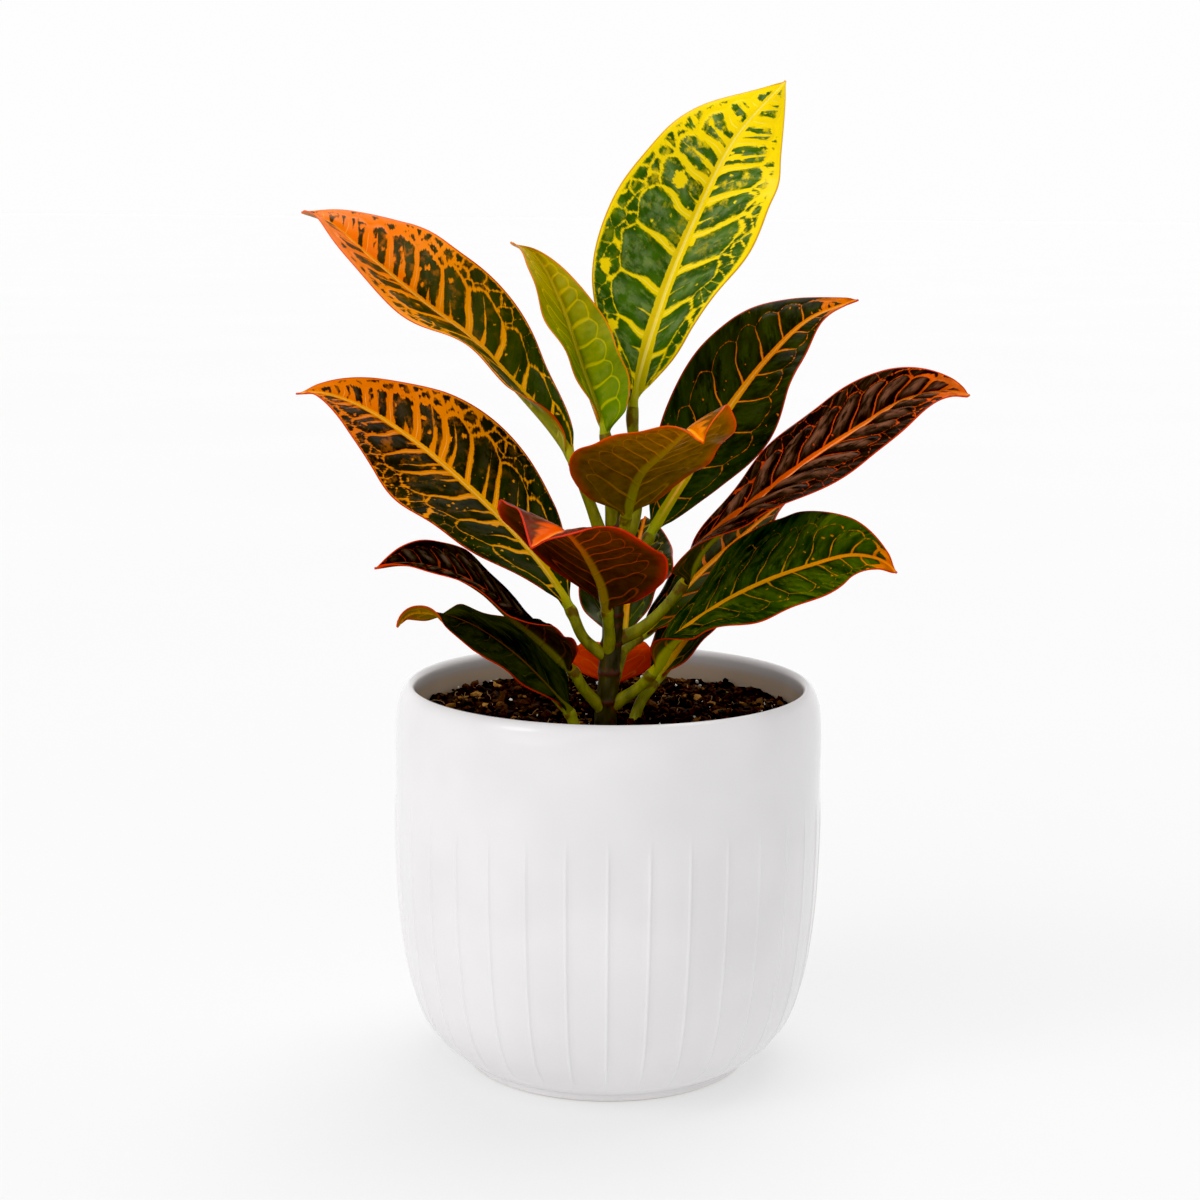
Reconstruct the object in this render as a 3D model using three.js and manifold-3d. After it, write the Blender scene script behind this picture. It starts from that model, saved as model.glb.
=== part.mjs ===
// A croton in a white ribbed pot: pot, soil, stem and fifteen leaves.
// Millimetres, +Z up. The origin is on the pot's axis, in the plane of its flat foot.
// -Y is the front, and +X is to the right of someone who looks at the front.
import * as THREE from "three";
import Module from "manifold-3d";
import { mergeVertices } from "three/addons/utils/BufferGeometryUtils.js";

const wasm = await Module();
wasm.setup();

// ---------- driving dimensions ----------
const GAP = 0.3; // clearance between neighbouring pieces

// Pot: radius and height of the outer wall from the foot to the lip, then of the inner wall.
const POT_HEIGHT = 127.4;
const FOOT_RADIUS = 46.5;
const FOOT_HEIGHT = 2.8;
const OUTER_WALL = [
  [48.6, 3.4],
  [54.2, 7.6],
  [60.2, 14.8],
  [63.9, 23.0],
  [66.6, 34.0],
  [68.8, 51.0],
  [69.9, 72.0],
  [70.0, 85.0],
  [70.0, 98.0],
  [69.9, 115.0],
  [69.1, 121.4],
  [67.3, 125.9],
];
const LIP_TOP_RADIUS = 65.4;
const INNER_WALL = [
  [63.9, 126.2],
  [63.8, 121.0],
  [64.1, 80.0],
  [62.0, 42.0],
  [54.5, 16.0],
  [40.0, 8.0],
];

// Raised ribs round the lower three quarters of the pot.
const RIB_COUNT = 34;
const RIB_HALF_ANGLE = 0.6; // degrees
const RIB_HEIGHT = 0.45;
const RIB_FOOT = 5;
const RIB_TOP = 94;
const RIB_FADE = 11;

// Soil, down to the floor of the pot.
const SOIL_LEVEL = 115.5;
const SOIL_RIM_RISE = 1.6;
const SOIL_LUMP = 1.0;
const SOIL_RINGS = [62, 50, 37, 24, 12];
const SOIL_SIDES = 30;

// Stem: points of its axis, each with the radius there.
const STEM = [
  [-1.2, -12.0, 97, 3.4],
  [-1.2, -12.0, 115, 3.7],
  [-0.6, -12.0, 124, 3.5],
  [0.6, -12.0, 142, 3.4],
  [1.4, -11.5, 157, 3.2],
  [1.2, -10.5, 170, 3.0],
  [2.0, -9.0, 179, 2.5],
  [3.0, -8.0, 186, 1.5],
  [3.4, -7.8, 191, 0.5],
];
const STEM_STEPS = 24;
const STEM_SIDES = 12;
const NODE_SWELL = 0.35; // swelling of the stem at each leaf scar
const NODE_SPACING = 9.5;

// Leaves.
const BLADE_THICKNESS = 0.9;
const EDGE_THICKNESS = 0.7;
const EDGE_WAVE = 0.7; // rise and fall of the margins
const WAVES = 3.5; // along each margin
const PETIOLE_RADIUS = 1.8;
const PETIOLE_ROOT_RADIUS = 2.3;
const PETIOLE_RINGS = 6;
const BLADE_STATIONS = [
  0, 0.02, 0.05, 0.1, 0.17, 0.25, 0.33, 0.41, 0.49, 0.57, 0.65, 0.73, 0.8, 0.87, 0.93, 0.97, 1,
];
const ACROSS = [-1, -0.5, 0, 0.5, 1];

// One row for each leaf, in millimetres and degrees.
// petiole: points from inside the stem or the soil up to the foot of the blade, where the blade starts.
// midrib: the points that follow, the last one being the tip.
// Side A lies clockwise of the leaf's heading when it is seen from above, and side B is the other.
// half: the widest reach of sides A and B. blunt and taper: how the base and the tip of each side run
// out, rounder below 1 and drawn out above 1.
// roll, foldA, foldB: at the stations below. roll lifts side A, and a fold lifts its own side.
const FORM_STATIONS = [0, 0.25, 0.6, 1];
const LEAVES = {
  leaf_top: {
    color: 0x8fae1f,
    petiole: [[3, -9, 171], [8, -6, 184], [8, -4, 201], [7, -2, 218]],
    midrib: [[15.8, 4.1, 250.4], [25.2, 10.2, 274.7], [39.4, 19.3, 303.3], [56.2, 26.5, 322.5]],
    half: [23, 28.1], blunt: [1.11, 1.06], taper: [0.9, 1.19],
    roll: [-102, -63, -70, -66], foldA: [38, 41, 34, -17], foldB: [28, 2, 15, -22],
  },
  leaf_young: {
    color: 0x9fb414,
    petiole: [[1, -8.5, 179], [-0.5, -8, 196], [-2, -8, 210]],
    midrib: [[-9.6, -4.8, 231.5], [-17, -0.9, 252.4], [-24.6, 3, 265.4], [-32.8, 5.9, 270.1]],
    half: [16, 11.3], blunt: [0.41, 1.35], taper: [1.35, 0.84],
    roll: [69, 58, 55, 52], foldA: [45, 44, 31, 40], foldB: [52, 60, 45, 56],
  },
  leaf_upper_left: {
    color: 0xb06518,
    petiole: [[-1, -11, 172], [-7, -10.5, 189], [-12, -9, 201]],
    midrib: [[-18, -5.7, 210.2], [-31.8, -0.8, 225.5], [-45.1, 4.1, 239], [-59.8, 8.9, 249.7],
      [-77.4, 14.8, 263.5], [-93.3, 19.6, 276.2], [-101.9, 22.4, 279.2]],
    half: [20.3, 21.9], blunt: [0.91, 1.13], taper: [0.71, 0.86],
    roll: [42, 42, 52, 21], foldA: [12, -4, 30, -3], foldB: [100, 55, 48, 29],
  },
  leaf_mid_left: {
    color: 0xa85a17,
    petiole: [[1, -12, 137], [-8, -13, 144], [-13, -11, 154]],
    midrib: [[-22.1, -8.5, 167.4], [-35.8, -3.5, 181.9], [-52.6, 2.5, 196.8], [-65.6, 7.4, 206.6],
      [-82.7, 13.4, 216.5], [-96, 17.3, 220.3], [-104.2, 19.3, 219.9]],
    half: [22.8, 23.7], blunt: [0.94, 1.07], taper: [1.23, 1.31],
    roll: [40, 43, 55, 44], foldA: [-15, -6, 13, 17], foldB: [22, 21, 21, 29],
  },
  leaf_lower_left: {
    color: 0x3a2c20,
    petiole: [[-1, -12, 120], [-8, -16, 128], [-12, -18, 135]],
    midrib: [[-22.3, -20.5, 146.1], [-31.3, -25.7, 154.3], [-39.5, -32.5, 163],
      [-48.9, -38.8, 169.1], [-62.9, -44.7, 173], [-72.1, -48.1, 172.2]],
    half: [16.7, 24.9], blunt: [1.03, 0.73], taper: [1.12, 0.99],
    roll: [35, 15, 22, 30], foldA: [16, 10, 11, 45], foldB: [54, 22, 12, 38],
  },
  leaf_low_left: {
    color: 0x2c3a1c,
    petiole: [[-10, -20, 108], [-11, -21, 117], [-13, -21, 122]],
    midrib: [[-20, -24.7, 131.5], [-30.8, -28.5, 142.8], [-44.3, -33.3, 152.7], [-56.7, -37, 157],
      [-62.8, -40.5, 156.6], [-66, -43, 153]],
    half: [27, 13.5], blunt: [0.75, 0.85], taper: [1.3, 0.3],
    roll: [42, 37, 24, -53], foldA: [1, -9, -14, -3], foldB: [-1, -11, -9, -30],
  },
  leaf_front_right: {
    color: 0x6e4a16,
    petiole: [[1, -11, 168], [4, -15, 178], [5, -18, 185]],
    midrib: [[7.5, -26, 196], [10, -35.9, 202.2], [14.6, -46.9, 207.8], [18.5, -57.9, 212.7],
      [22.2, -69.9, 217.2], [26.2, -83.9, 215.1]],
    half: [23, 24.9], blunt: [0.7, 0.75], taper: [1.38, 0.93],
    roll: [-8, -10, -14, -21], foldA: [11, 21, 24, 30], foldB: [-7, -4, 1, 25],
  },
  leaf_front_left: {
    color: 0x7a2a12,
    petiole: [[0, -12, 138], [0, -16, 146], [-1, -20, 155]],
    midrib: [[-2.5, -27.4, 164.3], [-5, -36.4, 171.3], [-7.3, -47.5, 176.9], [-9.6, -58.5, 181.7],
      [-14.3, -72.5, 187.3], [-23.3, -84.5, 184.2]],
    half: [30.9, 24.2], blunt: [1.04, 0.81], taper: [1.08, 1.34],
    roll: [12, 16, 15, 5], foldA: [-3, -2, 8, 14], foldB: [10, 15, 23, 20],
  },
  leaf_upper_right: {
    color: 0x33401a,
    petiole: [[2, -11, 158], [9, -7, 169], [13, -4, 177]],
    midrib: [[24.8, 2.2, 195.8], [32.6, 8.4, 207.8], [39.9, 13.6, 218.3], [52.8, 21.9, 233.6],
      [65.9, 29.2, 245.1], [82.6, 34.6, 251.5]],
    half: [17.1, 19.9], blunt: [1.18, 1.01], taper: [1.61, 1.04],
    roll: [-61, -68, -43, -29], foldA: [-25, -28, 18, -6], foldB: [6, 8, 29, -1],
  },
  leaf_mid_right: {
    color: 0x40251f,
    petiole: [[1, -11, 143], [10, -10, 147], [18, -9, 154], [24, -9, 162]],
    midrib: [[29.9, -12.5, 174.8], [47.8, -9.5, 189.3], [63.8, -6.6, 201.7], [79.7, -3.7, 211.9],
      [94.4, -0.9, 220.5], [108, 1.9, 223.2], [116.2, 3.7, 222.3]],
    half: [23.3, 16.3], blunt: [0.49, 1.35], taper: [0.81, 0.96],
    roll: [-32, -19, -26, -42], foldA: [74, 20, 8, 30], foldB: [16, 16, 16, 48],
  },
  leaf_lower_right: {
    color: 0x35431a,
    petiole: [[1, -12, 122], [10, -15, 129], [14, -17, 134]],
    midrib: [[19.5, -19.7, 144.6], [33.1, -22.8, 156.1], [47.9, -25.9, 164.8], [61.7, -29.2, 170.6],
      [75.6, -31.5, 174.7], [84.5, -33.8, 173.5], [89.3, -35.2, 169.9]],
    half: [19.8, 26], blunt: [1.11, 1.16], taper: [0.96, 1.25],
    roll: [-8, -24, -31, -53], foldA: [89, 6, 1, 25], foldB: [10, -2, 10, 53],
  },
  leaf_inner_right: {
    color: 0x3a3418,
    petiole: [[2, -10, 138], [10, -2, 143]],
    midrib: [[13, 0, 145], [30, 10, 162], [47, 18, 176], [60, 24, 186]],
    half: [14, 10], blunt: [1, 1], taper: [1.2, 1.2],
    roll: [-20, -20, -20, -20], foldA: [15, 10, 8, 8], foldB: [0, 0, 5, 8],
  },
  leaf_back: {
    color: 0x24331a,
    petiole: [[0, -11, 125], [4, -4, 137], [5, 0, 141]],
    midrib: [[6, 9, 150], [8, 21, 163], [12, 33, 178]],
    half: [16, 17], blunt: [0.8, 0.8], taper: [0.8, 1.2],
    roll: [0, 0, 0, 0], foldA: [45, 38, 20, 8], foldB: [15, 10, 8, 8],
  },
  leaf_low_back: {
    color: 0x26351a,
    petiole: [[6, -14, 107], [10, -10, 122], [15, -7, 129]],
    midrib: [[23, 0, 138], [34, 9, 151], [53, 20, 165]],
    half: [8, 13], blunt: [0.9, 0.9], taper: [1.2, 1.2],
    roll: [-15, -15, -15, -15], foldA: [20, 12, 10, 8], foldB: [20, 12, 10, 8],
  },
  leaf_old_red: {
    color: 0xb5401c,
    petiole: [[-1, -11, 120], [1, -3, 127]],
    midrib: [[1, 4, 131], [1, 14, 134], [1, 30, 134], [0, 46, 130]],
    half: [14.5, 14.5], blunt: [0.4, 0.4], taper: [1, 1],
    roll: [0, 0, 0, 0], foldA: [10, 8, 5, 5], foldB: [10, 8, 5, 5],
  },
};

// ---------- small helpers ----------
const rad = THREE.MathUtils.degToRad;
const smooth = THREE.MathUtils.smoothstep;
const lerp = THREE.MathUtils.lerp;
const vec = (p) => new THREE.Vector3(...p);

// A value given at the form stations, read at s from 0 to 1.
function along(values, s) {
  const i = s < FORM_STATIONS[1] ? 0 : s < FORM_STATIONS[2] ? 1 : 2;
  return lerp(values[i], values[i + 1], smooth(s, FORM_STATIONS[i], FORM_STATIONS[i + 1]));
}

// A closed solid from a geometry, with its shared vertices merged.
function solidOf(geometry) {
  const bare = new THREE.BufferGeometry();
  bare.setAttribute("position", geometry.getAttribute("position"));
  bare.setIndex(geometry.getIndex());
  const merged = mergeVertices(bare, 1e-3);
  return new wasm.Manifold(
    new wasm.Mesh({
      numProp: 3,
      vertProperties: new Float32Array(merged.attributes.position.array),
      triVerts: new Uint32Array(merged.index.array),
    }),
  );
}

function geometryOf(solid) {
  const mesh = solid.getMesh();
  const geometry = new THREE.BufferGeometry();
  geometry.setAttribute("position", new THREE.BufferAttribute(mesh.vertProperties, 3));
  geometry.setIndex(new THREE.BufferAttribute(mesh.triVerts, 1));
  geometry.computeVertexNormals();
  return geometry;
}

function meshOf(name, geometry, look) {
  const mesh = new THREE.Mesh(geometry, new THREE.MeshStandardMaterial(look));
  mesh.name = name;
  return mesh;
}

// A closed skin over rings of equal length. The second half of each ring is split the other way,
// so that the two faces of a thin blade are triangulated alike.
function loft(rings) {
  const n = rings[0].length;
  const positions = rings.flat().flatMap((p) => [p.x, p.y, p.z]);
  const index = [];
  const at = (i, k) => i * n + (k % n);
  for (let i = 0; i + 1 < rings.length; i++) {
    for (let k = 0; k < n; k++) {
      const [a, b, c, d] = [at(i, k), at(i, k + 1), at(i + 1, k + 1), at(i + 1, k)];
      if (k < n / 2) index.push(a, b, c, a, c, d);
      else index.push(a, b, d, b, c, d);
    }
  }
  const last = (rings.length - 1) * n;
  for (let k = 1; k + 1 < n; k++) {
    index.push(0, k + 1, k);
    index.push(last, last + k, last + k + 1);
  }
  const geometry = new THREE.BufferGeometry();
  geometry.setAttribute("position", new THREE.Float32BufferAttribute(positions, 3));
  geometry.setIndex(index);
  return geometry;
}

// ---------- pot ----------
// A turned body whose columns are gathered at the ribs and raised there.
function potGeometry() {
  const profile = [
    [0, 0],
    [FOOT_RADIUS - 0.7, 0],
    [FOOT_RADIUS, 0.7],
    [FOOT_RADIUS, FOOT_HEIGHT],
    ...OUTER_WALL,
    [LIP_TOP_RADIUS, POT_HEIGHT],
    ...INNER_WALL,
    [0, INNER_WALL.at(-1)[1]],
  ];
  const outerRows = 4 + OUTER_WALL.length;
  const columns = 3 * RIB_COUNT;
  const points = profile.map(([r, z]) => new THREE.Vector2(r, z));
  const geometry = new THREE.LatheGeometry(points, columns);
  geometry.rotateX(Math.PI / 2);
  const place = geometry.getAttribute("position");
  const pitch = (2 * Math.PI) / RIB_COUNT;
  const offsets = [0, rad(RIB_HALF_ANGLE), pitch - rad(RIB_HALF_ANGLE)];
  for (let i = 0; i < place.count; i++) {
    const column = Math.floor(i / points.length) % columns;
    const row = i % points.length;
    const onRib = column % 3 === 0;
    const angle = Math.floor(column / 3) * pitch + offsets[column % 3] - Math.PI / 2;
    const z = points[row].y;
    const strength = smooth(z, RIB_FOOT, RIB_FOOT + 6) * (1 - smooth(z, RIB_TOP - RIB_FADE, RIB_TOP));
    const raised = onRib && row < outerRows ? RIB_HEIGHT * strength : 0;
    const radius = points[row].x + raised;
    place.setXYZ(i, radius * Math.cos(angle), radius * Math.sin(angle), z);
  }
  return geometry;
}

// ---------- soil ----------
function soilGeometry() {
  const wall = INNER_WALL.slice(1).map(([r, z]) => [r - GAP, z]);
  const floor = INNER_WALL.at(-1)[1] + GAP;
  const profile = [
    [0, floor],
    [wall.at(-1)[0], floor],
    ...wall.slice(1, -1).reverse(),
    [wall[0][0], SOIL_LEVEL + SOIL_RIM_RISE],
    ...SOIL_RINGS.map((r) => [r, SOIL_LEVEL + SOIL_RIM_RISE * smooth(r, 25, 62)]),
    [0, SOIL_LEVEL],
  ];
  const points = profile.map(([r, z]) => new THREE.Vector2(r, z));
  const geometry = new THREE.LatheGeometry(points, SOIL_SIDES);
  geometry.rotateX(Math.PI / 2);
  const place = geometry.getAttribute("position");
  for (let i = 0; i < place.count; i++) {
    const [x, y, z] = [place.getX(i), place.getY(i), place.getZ(i)];
    if (z < SOIL_LEVEL - 1) continue;
    const lump = Math.sin(0.31 * x + 1.1) * Math.cos(0.27 * y) + 0.5 * Math.sin(0.7 * x - 0.6 * y);
    place.setZ(i, z + SOIL_LUMP * lump);
  }
  return geometry;
}

// ---------- stem ----------
function stemGeometry(grow) {
  const curve = new THREE.CatmullRomCurve3(STEM.map(vec), false, "centripetal");
  const rings = [];
  for (let i = 0; i <= STEM_STEPS; i++) {
    const u = (i / STEM_STEPS) * (STEM.length - 1);
    const k = Math.min(Math.floor(u), STEM.length - 2);
    const centre = curve.getPoint(i / STEM_STEPS);
    const scar = Math.cos((2 * Math.PI * centre.z) / NODE_SPACING) ** 6;
    const bare = lerp(STEM[k][3], STEM[k + 1][3], u - k);
    const radius = bare + grow + NODE_SWELL * scar * smooth(bare, 1, 3);
    const ring = [];
    for (let j = 0; j < STEM_SIDES; j++) {
      const a = (2 * Math.PI * j) / STEM_SIDES;
      ring.push(new THREE.Vector3(radius * Math.cos(a), radius * Math.sin(a), 0).add(centre));
    }
    rings.push(ring);
  }
  return loft(rings);
}

// ---------- leaves ----------
// The width of one side of a blade at s, as a share of its greatest.
function widthShare(s, blunt, taper) {
  const widest = blunt / (blunt + taper);
  return (s / widest) ** blunt * ((1 - s) / (1 - widest)) ** taper;
}

// Points along a leaf at given lengths: first the petiole's, then the blade's stations.
function leafStations(leaf) {
  const points = [...leaf.petiole, ...leaf.midrib].map(vec);
  const curve = new THREE.CatmullRomCurve3(points, false, "centripetal");
  const foot = (leaf.petiole.length - 1) / (points.length - 1);
  const fine = 200;
  const part = (from, to, share) => {
    const samples = [];
    let length = 0;
    for (let i = 0; i <= fine; i++) {
      const t = lerp(from, to, i / fine);
      const p = curve.getPoint(t);
      if (i) length += p.distanceTo(samples[i - 1].p);
      samples.push({ t, p, length });
    }
    const found = samples.find((q) => q.length >= share * length) ?? samples.at(-1);
    return { centre: found.p, tangent: curve.getTangent(found.t) };
  };
  const rings = [];
  for (let i = 0; i < PETIOLE_RINGS; i++) {
    rings.push({ ...part(0, foot, i / PETIOLE_RINGS), petiole: i / PETIOLE_RINGS, s: 0 });
  }
  for (const s of BLADE_STATIONS) rings.push({ ...part(foot, 1, s), petiole: 1, s });
  return rings;
}

function leafGeometry(leaf, grow = 0, onlyPetiole = false) {
  const tip = vec(leaf.midrib.at(-1));
  const foot = vec(leaf.petiole.at(-1));
  const heading = tip.sub(foot).setZ(0).normalize();
  const sideways = heading.cross(new THREE.Vector3(0, 0, 1));
  const rings = [];
  for (const { centre, tangent, petiole, s } of leafStations(leaf)) {
    if (onlyPetiole && petiole === 1) break;
    const level = sideways.clone().addScaledVector(tangent, -sideways.dot(tangent)).normalize();
    const side = level.applyAxisAngle(tangent, -rad(along(leaf.roll, s)));
    const up = side.clone().cross(tangent).normalize();
    const round = lerp(PETIOLE_ROOT_RADIUS, PETIOLE_RADIUS, smooth(petiole, 0, 0.6)) + grow;
    const [halfA, halfB] = leaf.half.map((half, i) => {
      return Math.max(half * widthShare(s, leaf.blunt[i], leaf.taper[i]), 0.6);
    });
    const blade = petiole < 1 ? 0 : smooth(s, -0.01, 0.07);
    const rib = PETIOLE_RADIUS * (1 - 0.85 * s);
    const point = (t, face) => {
      const fold = rad(along(t > 0 ? leaf.foldA : leaf.foldB, s));
      const reach = Math.abs(t) * (t > 0 ? halfA : halfB);
      const thick = lerp(BLADE_THICKNESS, EDGE_THICKNESS, Math.abs(t)) / 2;
      const keel = face < 0 && t === 0 ? 1.5 * rib : thick;
      const wave = EDGE_WAVE * t * t * Math.sin(2 * Math.PI * WAVES * s + Math.sign(t));
      const off = face * keel + wave;
      const out = Math.sign(t) * (reach * Math.cos(fold) - off * Math.sin(fold));
      const lift = reach * Math.sin(fold) + off * Math.cos(fold);
      return t === 0 ? [0, face * keel] : [out, lift];
    };
    const ring = [];
    const n = ACROSS.length;
    for (let k = 0; k < 2 * n; k++) {
      const face = k < n ? 1 : -1;
      const t = k < n ? ACROSS[k] : ACROSS[2 * n - 1 - k];
      const angle = Math.PI - ((k + 0.5) * Math.PI) / n;
      const [x, y] = point(t, face);
      const across = lerp(round * Math.cos(angle), x, blade);
      const lift = lerp(round * Math.sin(angle), y, blade);
      ring.push(centre.clone().addScaledVector(side, across).addScaledVector(up, lift));
    }
    rings.push(ring);
  }
  return loft(rings);
}

// ---------- assembly ----------
const GLAZE = { color: 0xf1f1f0, roughness: 0.18, metalness: 0 };
const EARTH = { color: 0x2a1a10, roughness: 0.95, metalness: 0 };
const BARK = { color: 0x4c4a1d, roughness: 0.6, metalness: 0 };

const plant = new THREE.Group();
plant.add(meshOf("pot", potGeometry(), GLAZE));
plant.add(meshOf("stem", stemGeometry(0), BARK));

const nearStem = solidOf(stemGeometry(GAP));
let soil = solidOf(soilGeometry()).subtract(nearStem);
for (const [name, leaf] of Object.entries(LEAVES)) {
  const solid = solidOf(leafGeometry(leaf)).subtract(nearStem);
  plant.add(meshOf(name, geometryOf(solid), { color: leaf.color, roughness: 0.35, metalness: 0 }));
  if (leaf.petiole[0][2] < SOIL_LEVEL) {
    soil = soil.subtract(solidOf(leafGeometry(leaf, GAP, true)));
  }
}
plant.add(meshOf("soil", geometryOf(soil), EARTH));

export default plant;
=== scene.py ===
"""A croton in a white ribbed pot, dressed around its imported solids.

Lengths in this script are millimetres, and MM turns them into Blender's metres.
-Y is the front of the plant, +X its right and +Z up, with the origin in the plane of the pot's foot.
"""
import math
import bpy
import numpy as np
from mathutils import Matrix, Vector


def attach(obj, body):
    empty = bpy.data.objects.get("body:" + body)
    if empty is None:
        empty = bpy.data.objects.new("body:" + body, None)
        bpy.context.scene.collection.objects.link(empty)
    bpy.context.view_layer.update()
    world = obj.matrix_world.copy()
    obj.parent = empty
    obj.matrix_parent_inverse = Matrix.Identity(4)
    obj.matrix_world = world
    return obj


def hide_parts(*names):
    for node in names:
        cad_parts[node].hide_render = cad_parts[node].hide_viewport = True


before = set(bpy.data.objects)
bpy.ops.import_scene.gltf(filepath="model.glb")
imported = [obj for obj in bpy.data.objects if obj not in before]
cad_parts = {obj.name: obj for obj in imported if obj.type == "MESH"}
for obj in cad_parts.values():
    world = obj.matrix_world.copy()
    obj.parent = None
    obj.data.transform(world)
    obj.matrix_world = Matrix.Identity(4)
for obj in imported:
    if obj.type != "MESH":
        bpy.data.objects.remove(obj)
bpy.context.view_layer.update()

MM = 0.001
RNG = np.random.default_rng(11)


# ---------------------------------------------------------------- camera
CAMERA_PLACE = (-3.13, -755.2, 282.5)
CAMERA_PITCH = math.radians(9.61)  # looking down
CAMERA_ROLL = math.radians(0.438)
FRAME_PIXELS = 1200
FOCAL_PIXELS = 2340.7
SENSOR_WIDTH = 36


def add_camera():
    right = Vector((1, 0, 0))
    up = Vector((0, math.sin(CAMERA_PITCH), math.cos(CAMERA_PITCH)))
    rolled_right = math.cos(CAMERA_ROLL) * right + math.sin(CAMERA_ROLL) * up
    rolled_up = math.cos(CAMERA_ROLL) * up - math.sin(CAMERA_ROLL) * right
    turn = Matrix((rolled_right, rolled_up, rolled_right.cross(rolled_up))).transposed()
    data = bpy.data.cameras.new("camera")
    data.sensor_fit = "HORIZONTAL"
    data.sensor_width = SENSOR_WIDTH
    data.lens = SENSOR_WIDTH * FOCAL_PIXELS / FRAME_PIXELS
    data.clip_start, data.clip_end = 0.01, 50
    camera = bpy.data.objects.new("camera", data)
    camera.matrix_world = Matrix.Translation(Vector(CAMERA_PLACE) * MM) @ turn.to_4x4()
    bpy.context.collection.objects.link(camera)
    bpy.context.scene.camera = camera


# ---------------------------------------------------------------- meshes
CURVE_STEPS = 60  # from one point of a curve to the next


def smooth(x, low, high):
    u = np.clip((x - low) / (high - low), 0, 1)
    return u * u * (3 - 2 * u)


def unit(vectors):
    return vectors / np.linalg.norm(vectors, axis=1, keepdims=True)


def new_piece(name, places, faces, materials, uses=None, numbers=None, rounded=True):
    """A mesh whose vertices are in millimetres.

    uses: each face's place in materials. numbers: named values or vectors, one for each vertex.
    """
    mesh = bpy.data.meshes.new(name)
    faces = faces.tolist() if isinstance(faces, np.ndarray) else faces
    mesh.from_pydata((places * MM).tolist(), [], faces)
    for material in materials:
        mesh.materials.append(material)
    if uses is not None:
        mesh.polygons.foreach_set("material_index", uses.astype(np.int32))
    for key, values in (numbers or {}).items():
        kind, field = ("FLOAT_VECTOR", "vector") if values.ndim == 2 else ("FLOAT", "value")
        layer = mesh.attributes.new(key, kind, "POINT")
        layer.data.foreach_set(field, values.astype(np.float32).ravel())
    mesh.polygons.foreach_set("use_smooth", np.full(len(mesh.polygons), rounded))
    mesh.update()
    piece = bpy.data.objects.new(name, mesh)
    bpy.context.collection.objects.link(piece)
    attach(piece, "root")
    return piece


def grid_faces(rows, columns):
    """Quads over rows of equal length, each row closed on itself."""
    i, k = np.meshgrid(np.arange(rows - 1), np.arange(columns), indexing="ij")
    after = (k + 1) % columns
    corners = [i * columns + k, i * columns + after, (i + 1) * columns + after, (i + 1) * columns + k]
    return np.stack(corners, -1).reshape(-1, 4)


def capped_faces(rows, columns):
    """grid_faces with one face more over each end."""
    last = (rows - 1) * columns
    caps = [tuple(reversed(range(columns))), tuple(range(last, last + columns))]
    return grid_faces(rows, columns).tolist() + caps


def centripetal(points, fine=CURVE_STEPS):
    """Dense points, directions and lengths along a smooth curve through the given points."""
    p = np.asarray(points, float)
    p = np.vstack([2 * p[0] - p[1], p, 2 * p[-1] - p[-2]])
    w = np.linspace(0, 1, fine, endpoint=False)[:, None]
    places, slopes = [], []
    for a, b, c, d in zip(p, p[1:], p[2:], p[3:]):
        ab, bc, cd = (np.linalg.norm(v) ** 0.5 for v in (b - a, c - b, d - c))
        out = ((b - a) / ab - (c - a) / (ab + bc) + (c - b) / bc) * bc
        into = ((c - b) / bc - (d - b) / (bc + cd) + (d - c) / cd) * bc
        two, three = 3 * (c - b) - 2 * out - into, 2 * (b - c) + out + into
        places.append(b + out * w + two * w**2 + three * w**3)
        slopes.append(out + 2 * two * w + 3 * three * w**2)
    places = np.vstack([*places, p[-2]])
    slopes = unit(np.vstack([*slopes, slopes[-1][-1]]))
    lengths = np.r_[0, np.cumsum(np.linalg.norm(np.diff(places, axis=0), axis=1))]
    return places, slopes, lengths


def read_at(lengths, values, at):
    return np.stack([np.interp(at, lengths, v) for v in values.T], -1)


def turned(sides):
    """Angles that go round once in the given number of steps."""
    return 2 * np.pi * np.arange(sides) / sides


# ---------------------------------------------------------------- materials
def channels(colour):
    """Red, green and blue from 0 to 255 of a colour written as 0xRRGGBB."""
    return [(colour >> shift) & 255 for shift in (16, 8, 0)]


def linear(colour):
    """The linear colour that a shader takes."""
    parts = [part / 255 for part in channels(colour)]
    return [c / 12.92 if c <= 0.04045 else ((c + 0.055) / 1.055) ** 2.4 for c in parts] + [1]


def stops(gradient):
    """A gradient's (place, 0xRRGGBB) stops. It may be written as only its first and last colour."""
    return list(zip((0, 1), gradient)) if isinstance(gradient[0], int) else gradient


def darker(gradient, share):
    """The gradient with every channel brought down to the given share."""
    dimmed = []
    for place, colour in stops(gradient):
        red, green, blue = (int(part * share) for part in channels(colour))
        dimmed.append((place, red << 16 | green << 8 | blue))
    return dimmed


def plug(tree, slot, value):
    if isinstance(value, Value):
        tree.links.new(value.socket, slot)
    else:
        slot.default_value = value


def add_node(tree, kind, inputs, output=0, **settings):
    """The value given by a new node. inputs are values in order, or held by the name or number of a slot."""
    node = tree.nodes.new("ShaderNode" + kind)
    for key, setting in settings.items():
        setattr(node, key, setting)
    for slot, value in inputs.items() if isinstance(inputs, dict) else enumerate(inputs):
        plug(tree, node.inputs[slot], value)
    return Value(tree, node.outputs[output])


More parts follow.
